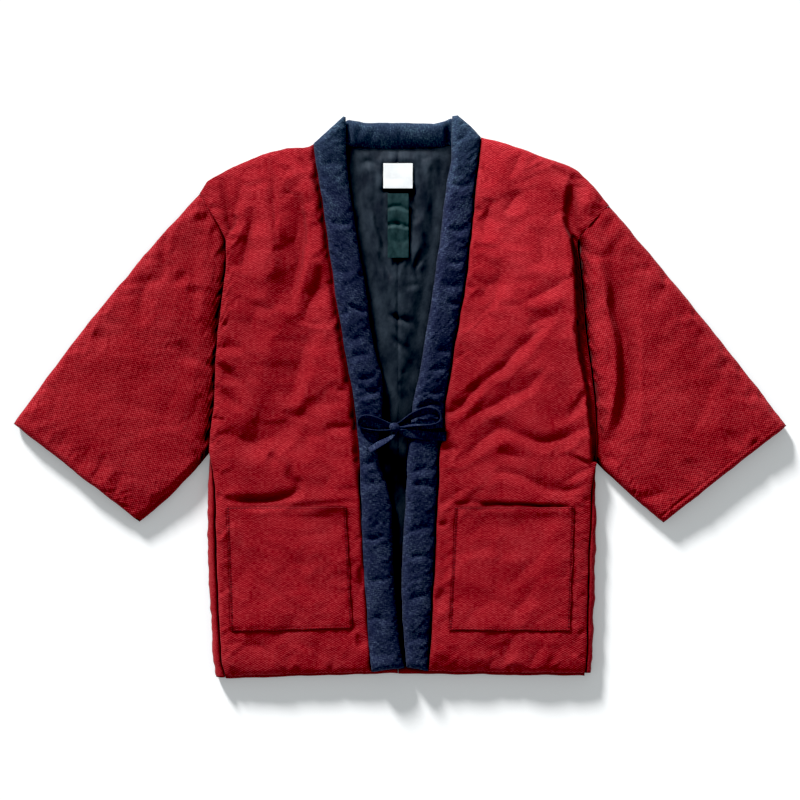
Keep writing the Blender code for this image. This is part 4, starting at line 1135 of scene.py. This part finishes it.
def front(side):
    name = f"front_{SIDE_NAMES[side]}"
    stretches = sides_between(ring_at(name, FRONT_FLOOR), FRONT_CORNERS[side])

    def heights(plan):
        y = plan[..., 1]
        share = pillow(plan, [FRONT_SHOULDER[side], FRONT_HEM[side], FRONT_SIDE[side], NO_EDGE])
        to_side, to_collar = reaches(plan)[2:]
        at_armhole = plan[:, :1, 1] > UNDERARM_Y[side]
        above = seam_share(side, plan[:, :1, 1])
        rolled = armhole(side, plan, to_side, above)
        share = share * np.where(at_armhole, rolled / rounding(to_side, FRONT_SIDE[side]), 1)
        share = share * blended(to_collar, TUCKED, LEVEL, 1.0 if side > 0 else ramped(LEVEL_Y - y, 60))
        crown = FRONT_CROWN - 1.6 + lumps(plan, 3.6, 1.7, 30 + side)
        crown = crown - creased(plan, FRONT_CREASES[side], 1.25)
        # A roll beside the right armhole, or a low band beside the left collar
        if side > 0:
            crown = crown + at_armhole * hump(to_side, 3.6, 24, 12)
        else:
            band = ramped(13 - to_collar, 10) * ramped(to_collar, 3)
            crown = crown - 4.6 * band * ramped(y + 150, 60)
        crown = crown - puckered(plan, FRONT_PUCKERS, 100 + 7 * side)
        sunk = ARMHOLE_SUNK * at_armhole * (1 - above) * np.clip(1 - 4 * rolled, 0, 1)
        loft = np.clip(crown - FRONT_MIDDLE, LEAST_LOFT, FRONT_CROWN + 4 - FRONT_MIDDLE)
        return FRONT_MIDDLE + WALL + loft * share - sunk

    made = padded_piece(name, stretches, heights, FRONT_SETTLE, FRONT_MIDDLE, RED, FRONT_OVERLAP)
    return declare_padded(made, name, "padded_red")


def laid(stretches, heights, settle):
    """A plan between four sides, its heights once settled, and how far settling moved it."""
    tall, wide = side_lengths(stretches)
    down, across = spread(tall, FINE), spread(wide, FINE)
    plan = filled(stretches, down, across)
    moved = settled(stretches, heights, settle, down, across)
    return plan, heights(plan) + moved[..., 2], moved[..., :2]


def padded_piece(name, stretches, heights, settle, middle, material, overlap, band=False):
    """A padded piece whose upper face is shaped, then settled by simulation."""
    plan, top, moved = laid(stretches, heights, settle)
    bottom = underside(plan, middle, FRONT_FLOOR + GAP)
    weave = band_weave(plan) if band else flat_weave(plan)
    over = wobbled(plan) + moved + leaning_out(plan, overlap)
    return quilted(f"{name}_padded", over, top, bottom, material, weave, wobbled(plan))


LEAN_FADE = 22
LEAN_REACH = 5


def leaning_out(plan, overlap):
    """How far the upper face leans out over its neighbour along its first column."""
    from_top, from_foot, distance, _ = reaches(plan)
    run = plan[-1, 0] - plan[0, 0]
    out = left_of(run)
    middle = plan[plan.shape[0] // 2, plan.shape[1] // 2]
    out = out * np.sign((plan[:, 0].mean(axis=0) - middle) @ out)
    ends = ramped(np.minimum(from_top, from_foot), LEAN_FADE)
    return (hump(distance, overlap, 0, LEAN_REACH) * ends)[..., None] * out


def declare_padded(piece, node, slot):
    part_of(piece, slot, node)
    return piece


# A piece's middle is the height of its seams; its edges and gathers are given in the order
# first row, last row, first column, last column
BACK_MIDDLE = 5.0
BACK_EDGES = [Edge(9, 0.1), Edge(8, 0.1), Edge(8, 0.1), Edge(6, 0.5)]
BACK_PUCKERS = [Pucker(18, 14, 1.0), Pucker(15, 14, 1.4), Pucker(16, 12, 1.0), None]


def back(side):
    name = f"back_{SIDE_NAMES[side]}"
    plan = patch(sides_between(ring_at(name, RING_Z), BACK_CORNERS[side]), COARSE)
    crown = BACK_CROWN - np.maximum(puckered(plan, BACK_PUCKERS, 160 + side), 0)
    top = stuffed(BACK_MIDDLE, crown, pillow(plan, BACK_EDGES))
    bottom = underside(plan, BACK_MIDDLE, REST_Z, BACK_CREASES)
    made = quilted(f"{name}_padded", wobbled(plan), top, bottom, RED, flat_weave(plan))
    declare_padded(made, name, "padded_red")


COLLAR_SETTLE = Settle(4.5, 0.03, 0.02, 2.0, 0.5, 0.1, 3.5)
COLLAR_MIDDLE = FRONT_FLOOR + 4
COLLAR_EDGES = {-1: (Edge(12, 0.38), Edge(40, 0.03)), 1: (Edge(40, 0.0), Edge(13, 0.12))}
COLLAR_PUCKERS = [None, None, Pucker(9, 13, 1.5), Pucker(10, 12, 1.4)]
COLLAR_OVERLAP = {-1: 1.3, 1: 0}


def collar(side):
    name = f"collar_{SIDE_NAMES[side]}"
    stretches = sides_between(ring_at(name, FRONT_FLOOR), COLLAR_CORNERS[side])

    def heights(plan):
        share = pillow(plan, [Edge(9, 0.2), Edge(10, 0.15), *COLLAR_EDGES[side]])
        pinched = hump(plan[..., 1], 4.0, KNOT_SPOT[1] + 0.5, 34.0)
        crown = COLLAR_CROWN - 0.8 - pinched + lumps(plan, 1.6, 1.6, 60 + side)
        crown = crown - creased(plan, COLLAR_CREASES[side], 1.6)
        crown = crown - puckered(plan, COLLAR_PUCKERS, 200 + 5 * side)
        loft = np.clip(crown - COLLAR_MIDDLE, 1, COLLAR_CROWN + 1 - COLLAR_MIDDLE)
        return COLLAR_MIDDLE + WALL + loft * share

    made = padded_piece(
        name, stretches, heights, COLLAR_SETTLE, COLLAR_MIDDLE, NAVY, COLLAR_OVERLAP[side], band=True
    )
    return declare_padded(made, name, "padded_navy")


# The stretch of the neck band that shows between the front bands, in X
NECK_SHOWS = (-76.0, 70.5)
NECK_MIDDLE = 7.0
NECK_UNDER = FRONT_FLOOR - 0.5
NECK_EDGES = [Edge(11, 0.15), Edge(34, 0.0), Edge(2, 0.6), Edge(2, 0.6)]
NECK_PUCKERS = [Pucker(13, 14, 2.2), Pucker(11, 14, 2.0), None, None]


def collar_neck():
    ring = ring_at("collar_neck", 0.0)
    corners = [ring[np.argmax(ring @ way)] for way in ((-1, 0.3), (1, 0.3), (1, -0.3), (-1, -0.3))]
    plan = patch(sides_between(ring, corners), FINE)
    ends = np.minimum(plan[..., 0] - NECK_SHOWS[0], NECK_SHOWS[1] - plan[..., 0])
    raised = np.clip(ends / 8 + 0.3, 0, 1)
    crown = NECK_CROWN - 0.5 + lumps(plan, 1.4, 0.8, 71) - creased(plan, NECK_CREASES)
    crown = np.minimum(crown - puckered(plan, NECK_PUCKERS, 230), NECK_CROWN + 1.2)
    crown = crown * raised + NECK_UNDER * (1 - raised)
    top = stuffed(NECK_MIDDLE, crown, pillow(plan, NECK_EDGES))
    bottom = underside(plan, NECK_MIDDLE, REST_Z)
    weave = band_weave(plan.transpose(1, 0, 2)).transpose(1, 0, 2)
    made = quilted("collar_neck_padded", wobbled(plan), top, bottom, NAVY, weave)
    declare_padded(made, "collar_neck", "padded_navy")


SLEEVE_SETTLE = Settle(6.5, 0.018, 0.002, 1.5, 0.3, 0.3, 5.0)
SLEEVE_MIDDLE = 9.0
SLEEVE_EDGES = {
    -1: [NO_EDGE, Edge(8, 0.5), Edge(16, 0.0), Edge(13, 0.34, 6.0)],
    1: [NO_EDGE, Edge(8, 0.5), Edge(16, 0.0), Edge(14, 0.0)],
}
SLEEVE_HEAD = {-1: Edge(50, 0.34, 0.0, 1.2), 1: Edge(40, 0.04, 5.0, 1.15)}
FLAT_HEAD = Edge(5, 0.98)
SLEEVE_PUCKERS = [Pucker(22, 22, 0.2), Pucker(19, 16, 0.5), Pucker(22, 20, 0.3), Pucker(19, 18, 0.9)]
# The least height of the upper skin at the head and at the cuff, and the most of the lower
HEAD_Z = 11.5
CUFF_Z = 13.6
LIP_Z = 7.5


def sleeve(side):
    """A tube laid flat: an outer skin, an inner skin and a lip at each end."""
    name = f"sleeve_{SIDE_NAMES[side]}"
    corners = SLEEVE_CORNERS[side]
    stretches = sides_between(ring_at(name, RING_Z), corners)

    def heights(plan):
        to_head, to_cuff, to_upper, to_under = reaches(plan)
        above = seam_share(side, plan[:1, :, 1])
        at_head = blended(to_head, SLEEVE_HEAD[side], FLAT_HEAD, above)
        crown = SLEEVE_CROWN - 1.0 + lumps(plan, 3.0, 1.0, 80 + side)
        crown = crown - creased(plan, SLEEVE_CREASES[side], 0.8)
        # Thinner towards its under edge, and on the left towards its upper edge too; on the right, a dip
        # beside the cuff
        crown = crown - 4.5 * np.clip(1 - to_under / 90, 0, 1) ** 1.5
        if side < 0:
            crown = crown - 6.5 * np.clip(1 - to_upper / 110, 0, 1) ** 1.5
        else:
            crown = crown - hump(to_cuff, 1.6, 9.5, 1.8)
        crown = crown - puckered(plan, SLEEVE_PUCKERS, 260 + 9 * side)
        loft = np.clip(crown, CUFF_Z, SLEEVE_CROWN + 2) - SLEEVE_MIDDLE
        return SLEEVE_MIDDLE + WALL + loft * (pillow(plan, SLEEVE_EDGES[side]) * at_head)

    plan, top, moved = laid(stretches, heights, SLEEVE_SETTLE)
    top[0] = np.maximum(top[0], HEAD_Z)
    top[-1] = np.maximum(top[-1], CUFF_Z)
    bottom = underside(plan, SLEEVE_MIDDLE, REST_Z, SLEEVE_BACK_CREASES[side])
    bottom[[0, -1]] = np.minimum(bottom[[0, -1]], LIP_Z)
    made = tube(f"{name}_padded", wobbled(plan), top, bottom, corners, moved)
    declare_padded(made, name, "padded_red")


# A sleeve's inside: how far in from its sides it runs, its lowest and highest heights, and
# how many rows of the outside each of its rows spans
SLIT_INSET = 9.0
SLIT = (10.2, 12.9)
INNER_STEP = 6


def skin(over_plan, top, under_plan, bottom):
    """Rings of points that run out over a tube and back under it."""
    under = lifted(under_plan, bottom)[:, ::-1]
    return np.concatenate([lifted(over_plan, top), under], axis=1).reshape(-1, 3)


def tube(name, plan, top, bottom, corners, moved):
    rows = plan.shape[0]
    weave = turned_weave(plan, np.mean(corners[:2], axis=0), np.mean(corners[2:], axis=0))
    inner_rows = sorted({*range(0, rows, INNER_STEP), rows - 1})
    inset = np.clip(SLIT_INSET / norm(plan[:, -1] - plan[:, 0]), 0, 0.2)[:, None, None]
    left, right = (distance[..., None] for distance in reaches(plan)[2:])
    shares = inset + left / (left + right) * (1 - 2 * inset)
    inner_plan = (plan[:, :1] * (1 - shares) + plan[:, -1:] * shares)[inner_rows]
    outer = skin(plan + moved, top, plan, bottom)
    inner = skin(inner_plan, SLIT[1], inner_plan, SLIT[0])
    cloth = np.concatenate([weave, weave[:, ::-1] + [0, 0, UNDER_WEAVE]], axis=1).reshape(-1, 3)
    cloth = np.vstack([cloth, inner * [1, 1, 0] + [0, 0, INSIDE_WEAVE]])
    around = 2 * plan.shape[1]
    first, last = len(outer), len(outer) + len(inner) - around
    faces = ring_faces(rows, around)
    faces += [[b, a, d, c] for a, b, c, d in ring_faces(len(inner_rows), around, first)]
    for a, b in ((0, first), (first - around, last)):
        ahead = [(i + 1) % around for i in range(around)]
        faces += [[a + i, b + i, b + j, a + j] for i, j in enumerate(ahead)]
    return mesh_object(name, np.vstack([outer, inner]), faces, RED, cloth)


# A side strip's section: the share of its width and the height, round from its upper seam,
# with the slit's top and the share where the slit ends
GUSSET_SLIT_Z = 12.4
GUSSET_SLIT_SHARE = 0.3
GUSSET_PROFILE = [
    (0.0, 17.8), (0.16, 19.6), (0.34, 21.8), (0.55, 21.6), (0.74, 19.8), (0.88, 16.8),
    (0.97, 12.8), (1.0, 9.4), (0.985, 5.4), (0.92, 2.0), (0.8, 0.4), (0.5, 0.1), (0.0, 0.1),
    (0.0, 5.0), (0.0, 10.2), (0.3, 10.2), (0.3, 12.4), (0.0, 12.4),
]
GUSSET_SPACING = 3.0
GUSSET_WIDEST_Z = 9.4
GUSSET_TOP_Z = 22.4
# How its outer side wavers: how far, the length of each swing and the seed
SCALLOPS = [(1.6, 24, 301), (0.9, 11, 305)]
LEAST_WIDTH = 1.6
SLIT_EDGE = 7.0


def gusset(side):
    """The side strip, folded round from the front's seam to the back's."""
    name = f"gusset_{SIDE_NAMES[side]}"
    ring = ring_at(f"front_{SIDE_NAMES[side]}", FRONT_FLOOR)
    line = sides_between(ring, FRONT_CORNERS[side])[3][::-1]
    low, high = node_points(name).min(0), node_points(name).max(0)
    foot_y, top_y = low[1] + 0.5, high[1] - 0.5
    ys = np.linspace(top_y, foot_y, round((top_y - foot_y) / GUSSET_SPACING))
    order = np.argsort(line[:, 1])
    inner_x = np.interp(ys, line[order, 1], line[order, 0]) + side * GAP
    tree = tree_of(NODES[name])[0]
    outer_x = []
    for y in ys:
        start = Vector((side * 0.5, y * MM, GUSSET_WIDEST_Z * MM))
        hit = tree.ray_cast(start, Vector((-side, 0, 0)))[0]
        outer_x.append(hit.x / MM if hit else np.nan)
    outer_x = np.array(outer_x)
    good = ~np.isnan(outer_x)
    outer_x = np.interp(-ys, -ys[good], outer_x[good])
    wide = np.maximum(np.abs(outer_x - inner_x), LEAST_WIDTH)
    place = -ys
    scallop = sum(far * noise(place / cell, 0, seed + side) for far, cell, seed in SCALLOPS)
    fade = np.clip(wide / 12, 0.15, 1)
    points, cloth = [], []
    for i, y in enumerate(ys):
        out = wide[i] + np.clip(scallop[i], -2.4, 1.4) * fade[i]
        tall = np.clip(wide[i] / 11, 0.62, 1)
        for j, (profile_share, height) in enumerate(GUSSET_PROFILE):
            share = profile_share
            if share == GUSSET_SLIT_SHARE:
                share = max(0.2, 1 - SLIT_EDGE / wide[i])
            if height > GUSSET_SLIT_Z:
                bump = noise(place[i] / 13 + j / 9, j / 3, 311 + side) * 1.5
                height = GUSSET_SLIT_Z + (height - GUSSET_SLIT_Z) * tall + bump * min(share, 1)
                height = min(height, GUSSET_TOP_Z)
            x = inner_x[i] + side * out * share
            points.append((x, y, height))
            cloth.append((profile_share * 40 + (40 if height < 9 else 0), y, 0))
    points = np.array(points)
    points[:, :2] = wobbled(points[:, :2])
    faces = rod_faces(len(ys), len(GUSSET_PROFILE))
    made = mesh_object(f"{name}_padded", points, faces, RED, cloth)
    declare_padded(made, name, "padded_red")


POCKET_THICK = 1.1
POCKET_LIFT = 0.35
POCKET_SEAM = 3.2
POCKET_PUCKERS = [None, Pucker(12, 10, 0.7), Pucker(13, 11, 0.8), Pucker(13, 11, 0.8)]


def extreme_corners(name):
    points = node_points(name)[:, :2]
    ways = ((-1, 1), (1, 1), (1, -1), (-1, -1))
    return [points[np.argmax(points @ np.array(way))] for way in ways]


def straight_sides(corners):
    return [np.array([a, b], float) for a, b in zip(corners, corners[1:] + corners[:1])]


def pocket(side, under):
    name = f"pocket_{SIDE_NAMES[side]}"
    corners = extreme_corners(name)
    plan = wobbled(patch(straight_sides(corners), FINE))
    ground = heights_under(tree_of(under), plan, FRONT_CROWN - 3)
    to_mouth, to_foot, to_left, to_right = reaches(plan)
    inside = np.minimum(np.minimum(to_left, to_right), to_foot)
    # Puffed inside its seams, and standing a little open at its mouth
    puff = 1.2 * ramped(inside - 3, 18) * (1 - np.exp(-to_mouth / 30))
    puff = puff + 2.6 * np.clip(1 - to_mouth / 24, 0, 1) * ramped(inside, 14)
    relief = creased(plan, POCKET_CREASES[side]) + puckered(plan, POCKET_PUCKERS, 340 + side)
    seams = hump(inside, 0.6, POCKET_SEAM, 1.3) + hump(to_mouth, 0.4, 16, 2.0)
    low = ground + POCKET_LIFT
    high = low + POCKET_THICK + np.maximum(puff + 0.5 - relief - seams, 0)
    high = np.minimum(high, FRONT_CROWN + 5)
    made = quilted(f"{name}_cloth", plan, high, low, RED, flat_weave(plan))
    part_of(made, "padded_red", name)
    return made


# The lining: its thickness, the height of the neck's seam and the place of its centre seam
LINING_THICK = 0.9
NECK_SEAM_Y = 379.5
LINING_SEAM_X = -3.05
# The satin's heights: flat, puffed, lowest, highest, at its tucked-in edge and underneath
SATIN_FLAT = 12.2
SATIN_PUFF = 5.0
SATIN_LOW = 11.9
SATIN_HIGH = 20.5
SATIN_EDGE = 12.8
SATIN_UNDER = 11.2


def lining(side):
    """Half of the satin lining, puffed between the collar's free edges."""
    name = f"lining_{SIDE_NAMES[side]}"
    points = node_points(name)
    low_y = points[:, 1].min()
    rows = np.linspace(NECK_SEAM_Y, low_y, 60)
    out = np.abs(points[:, 0] - LINING_SEAM_X)
    near = np.abs(points[:, 1][:, None] - points[:, 1][None]) < 9
    outermost = out >= np.where(near, out[None], 0).max(axis=1) - 0.01
    border_points = points[outermost][np.argsort(points[outermost][:, 1])]
    free = collar_inner_edge(side)
    covered = side * np.interp(-rows, -free[:, 1], free[:, 0]) + 5
    edge_x = side * np.interp(rows, border_points[:, 1], border_points[:, 0])
    edge = np.stack([side * np.maximum(edge_x, covered), rows], axis=1)
    centre = np.stack([np.full(len(rows), LINING_SEAM_X), rows], axis=1)
    ends = [np.array([edge[0], centre[0]]), np.array([centre[-1], edge[-1]])]
    plan = patch([ends[0], centre, ends[1], edge[::-1]], 2.6)
    x, y = plan[..., 0], plan[..., 1]
    inside = side * (np.interp(-y, -free[:, 1], free[:, 0]) - x)
    puff = ramped(inside - 11, 20)
    puff = puff**2 * (3 - 2 * puff) * ramped(NECK_SEAM_Y - y - 5, 14) * (0.1 + 0.9 * ramped(y + 40, 90))
    # Long folds down the satin, then two sizes of smaller ones
    swing = 0.3 * noise(x / 40, y / 50, 367)
    bunched = 2.6 * (1 - 2.2 * np.abs(noise(x / 24 + swing, y / 90, 361)))
    bunched = bunched + noise(x / 17, y / 48, 365) * 1.4 + noise(x / 8, y / 22, 363) * 0.6
    bunched = bunched - creased(plan, LINING_CREASES, 1.7) * puff
    seam = hump(x, 1.5, LINING_SEAM_X, 2.6) * puff
    top = np.clip(SATIN_FLAT + SATIN_PUFF * puff + bunched * puff - seam, SATIN_LOW, SATIN_HIGH)
    top = np.where(inside < 3, np.minimum(top, SATIN_EDGE), top)
    low = np.maximum(SATIN_UNDER, top - LINING_THICK)
    made = quilted(f"{name}_cloth", plan, top, low, SATIN, flat_weave(plan))
    part_of(made, "lining", name)
    return made


def collar_inner_edge(side):
    ring = ring_at(f"collar_{SIDE_NAMES[side]}", FRONT_FLOOR)
    inner = sides_between(ring, COLLAR_CORNERS[side])[1]
    return inner[np.argsort(-inner[:, 1])]


LABEL_THICK = 0.6
LABEL_LIFT = 1.2


def label(name, material, under):
    low, high = node_points(name).min(0), node_points(name).max(0)
    x0, y0, x1, y1 = low[0], low[1], high[0], high[1]
    plan = patch(straight_sides([(x0, y1), (x1, y1), (x1, y0), (x0, y0)]), 1.6)
    ground = heights_under(tree_of(*under), plan, 17.0)
    curl = 0.8 * noise(plan[..., 0] / 30, plan[..., 1] / 26, 401)
    level = np.full(ground.shape, ground.max() + 0.3) + LABEL_LIFT + np.maximum(curl, -0.4)
    level = np.maximum(level - creased(plan, LABEL_FOLDS[name]), ground + 0.2)
    plan = plan + 0.5 * np.stack([noise(plan[..., 1] / 20, 0, 403)] * 2, -1)
    made = quilted(f"{name}_cloth", plan, level + LABEL_THICK, level, material, flat_weave(plan))
    part_of(made, name, name)


# The bow. Each tie runs from its seam to the knot, round its loop and out to its tail
Strap = namedtuple("Strap", "x y lean width", defaults=(14.0,))
KNOT_SPOT = (-8.0, -42.5)
KNOT_Z = 37.0
KNOT_SIZE = (16, 14, 13.6)
KNOT_TURN = -24
TIES = {
    "tie_left": [
        (-62, -34, 4), (-44, -36, 0), (-24, -40, 6, 12), (-11, -42, 50, 8), (-8, -41, 90, 8),
        (-11, -39, 105, 8), (-17.5, -37.5, 125, 9), (-31, -33, 132, 12), (-46, -28, 130, 13),
        (-57, -28, 118, 12), (-62, -34, 100, 10), (-59, -41.5, 92, 8), (-46, -45.5, 88, 7),
        (-31, -47, 88, 7), (-17.5, -46.5, 86, 7), (-11, -45.5, 80, 8), (-6.5, -45.5, 78, 8),
        (-7, -49.5, 72, 9), (-12, -56, 64, 11), (-23, -63, 56), (-35, -70, 52), (-46, -77, 56),
    ],
    "tie_right": [
        (64, -36, 4), (40, -38, 0), (14, -41.5, 6, 12), (-3, -43, 50, 8), (-8, -41, 80, 8),
        (-5, -37.5, 80, 8), (2, -35, 66, 10), (12, -29, 52, 12), (26, -21.5, 44), (41, -17, 42),
        (53, -19, 52), (60, -28, 70, 12), (54, -37, 96, 12), (38, -39.5, 98, 12.5),
        (20, -38.5, 72, 12.5), (7, -40, 66, 11), (-3, -41.5, 76, 9), (-7, -44.5, 76, 8),
        (-1.5, -46.5, 66, 9), (4.5, -49, 44, 12), (14, -51.5, 18), (34, -54, 6), (52, -55.5, 2),
        (68.5, -56, 0),
    ],
}
TIE_THICK = 2.2
TIE_STEPS = 6
TIE_SPAN_Z = 29.0
TIE_TOP_Z = 50.0
# A strap's section, hemmed and a little thicker at its two edges: its lower side and its upper
STRAP_BELOW = [(-1, -0.6), (-0.7, -1), (-0.35, -0.8), (0, -0.7), (0.35, -0.8), (0.7, -1), (1, -0.6)]
STRAP_SECTION = STRAP_BELOW + [(a, -b) for a, b in reversed(STRAP_BELOW)]


def widened(values, reach=3):
    return np.pad(values, reach, mode="edge")


def tie(name, nodes, trees):
    """A flat strap, hemmed at its edges, lofted along its route."""
    rows = np.array([Strap(*row) for row in TIES[name]], float)
    route = smooth(rows, TIE_STEPS)
    heading = np.gradient(route[:, :2], axis=0)
    heading /= norm(heading)[:, None]
    across = np.stack([-heading[:, 1], heading[:, 0]], axis=1)
    lean, half = np.radians(route[:, 2]), route[:, 3] / 2
    place = np.concatenate([[0], np.cumsum(norm(np.diff(route[:, :2], axis=0)))])
    rest = []
    for spot, sideways, reach in zip(route[:, :2], across, half * np.abs(np.cos(lean)) + TIE_THICK):
        spots = [spot + sideways * reach * share for share in np.linspace(-1, 1, 7)]
        rest.append(max(TIE_SPAN_Z, *(top_under(trees, *s) for s in spots)))
    rest = np.max([widened(rest)[i : i + len(rest)] for i in range(7)], axis=0)
    rest = np.convolve(widened(rest), np.ones(7) / 7, "valid")
    middle_z = rest + 0.4 + half * np.sin(lean) + TIE_THICK / 2 * np.abs(np.cos(lean))
    middle_z = np.minimum(middle_z, TIE_TOP_Z - half * np.sin(lean) - 0.8)
    centre = np.column_stack([route[:, :2], middle_z])
    points, cloth = [], []
    for i in range(len(route)):
        wide = np.array([*(across[i] * math.cos(lean[i])), math.sin(lean[i])])
        thick = np.array([*(-across[i] * math.sin(lean[i])), math.cos(lean[i])])
        cup = 0.5 * noise(place[i] / 14, 0, 421)
        for a, b in STRAP_SECTION:
            swell = 1 + 0.12 * noise(place[i] / 9, a * 2, 423)
            point = centre[i] + wide * a * half[i]
            point = point + thick * (b * TIE_THICK / 2 * swell + cup * (1 - a * a))
            points.append(point)
            cloth.append((a * 7, place[i], 0 if b < 0 else 20))
    faces = rod_faces(len(route), len(STRAP_SECTION))
    made = part_of(mesh_object(f"{name}_strap", points, faces, TIE, cloth), "tie", *nodes)
    return made, centre, float(norm(np.diff(centre, axis=0)).sum())


def knot():
    """The knot: a gathered lump with folds that run across it."""
    shaped = bmesh.new()
    bmesh.ops.create_icosphere(shaped, subdivisions=5, radius=0.5)
    turn = math.radians(KNOT_TURN)
    points, cloth = [], []
    for vertex in shaped.verts:
        x, y, z = vertex.co
        fold = math.sin(x * 13 + 2.2 * math.sin(y * 5)) * 0.035
        fold += 0.03 * float(noise(x * 4, y * 4 + z * 3, 431))
        x, y, z = (length * wide * (1 + fold) for length, wide in zip((x, y, z), KNOT_SIZE))
        points.append((
            KNOT_SPOT[0] + x * math.cos(turn) - y * math.sin(turn),
            KNOT_SPOT[1] + x * math.sin(turn) + y * math.cos(turn),
            KNOT_Z + z,
        ))
        cloth.append((y, x, z))
    faces = [[v.index for v in face.verts] for face in shaped.faces]
    shaped.free()
    return part_of(mesh_object("tie_knot_lump", points, faces, TIE, cloth), "tie", "tie_knot")


def bow(trees):
    lump = knot()
    for name in TIES:
        nodes = [f"{name}_{part}" for part in ("root", "loop", "tail")]
        strap, centre, length = tie(name, nodes, trees)
        step = max(1, len(centre) // 38)
        path = [tuple(spot * MM) for spot in centre[::step]]
        if len(centre[::step]) * step != len(centre) + step - 1:
            path.append(tuple(centre[-1] * MM))


# Stitches: their length, pitch and radius, the points round one, and how thick it is at
# shares of its length
STITCH_LONG = 3.0
STITCH_PITCH = 4.2
STITCH_RADIUS = 0.5
STITCH_AROUND = 6
STITCH_SWELLS = ((0, 0.3), (0.2, 1), (0.8, 1), (1, 0.3))


def stitches(name, lines, trees):
    """A dashed line of raised thread along each line, on what lies under it."""
    points, faces = [], []
    for line, zigzag in lines:
        total = length_of(line)
        for i in range(int(total / STITCH_PITCH)):
            at, half = (i + 0.5) * STITCH_PITCH / total, STITCH_LONG / 2 / total
            a, b = along(line, [at - half, at + half])
            shift = left_of(b - a) * zigzag * (1 if i % 2 else -1)
            a, b = a - shift, b + shift
            run = b - a
            sideways = left_of(run) * STITCH_RADIUS
            faces += rod_faces(len(STITCH_SWELLS), STITCH_AROUND, len(points))
            for share, swell in STITCH_SWELLS:
                spot = a + run * share
                z = top_under(trees, *spot, missing=FRONT_CROWN) + 0.1
                for turn in range(STITCH_AROUND):
                    angle = 2 * math.pi * turn / STITCH_AROUND
                    off = sideways * math.cos(angle) * swell
                    points.append((*(spot + off), z + STITCH_RADIUS * math.sin(angle) * swell))
    cloth = [(x, y, 0) for x, y, _ in points]
    part_of(mesh_object(name, points, faces, RED_THREAD, cloth), "padded_red")


def inward(a, b, c, distance):
    """The line from a to b moved towards c."""
    normal = left_of(b - a)
    shift = normal * np.sign((c - a) @ normal) * distance
    return np.array([a + shift, b + shift])


def pocket_stitching(side, pocket_piece):
    name = f"pocket_{SIDE_NAMES[side]}"
    top_left, top_right, foot_right, foot_left = extreme_corners(name)
    lines = [
        (inward(foot_left, foot_right, top_left, 1.4), 0.3),
        (inward(top_left, foot_left, top_right, 1.2), 0.3),
        (inward(top_right, foot_right, top_left, 1.2), 0.3),
        (inward(top_left, foot_left, top_right, POCKET_SEAM), 0),
        (inward(top_right, foot_right, top_left, POCKET_SEAM), 0),
        (inward(top_left, top_right, foot_left, 1.6), 0.3),
    ]
    stitches(f"{name}_stitches", lines, tree_of(pocket_piece))


camera()
RED = red_cotton()
NAVY = navy_cotton()
SATIN = lining_satin()
TIE = NAVY
WHITE = woven_label("label_white", *WHITE_COLOURS, sheen=0.05)
GREEN = woven_label("label_green", *GREEN_COLOURS, sheen=0.04)
RED_THREAD = thread_material("red_thread", THREAD_RED)

fronts = {side: front(side) for side in (-1, 1)}
collars = {side: collar(side) for side in (-1, 1)}
bow(tree_of(*fronts.values(), *collars.values()))
for side in (-1, 1):
    back(side)
collar_neck()
for side in (-1, 1):
    sleeve(side)
    gusset(side)
    pocket_stitching(side, pocket(side, fronts[side]))
linings = [lining(side) for side in (-1, 1)]
label("label_white", WHITE, linings)
label("label_green", GREEN, linings)
floor_and_light()
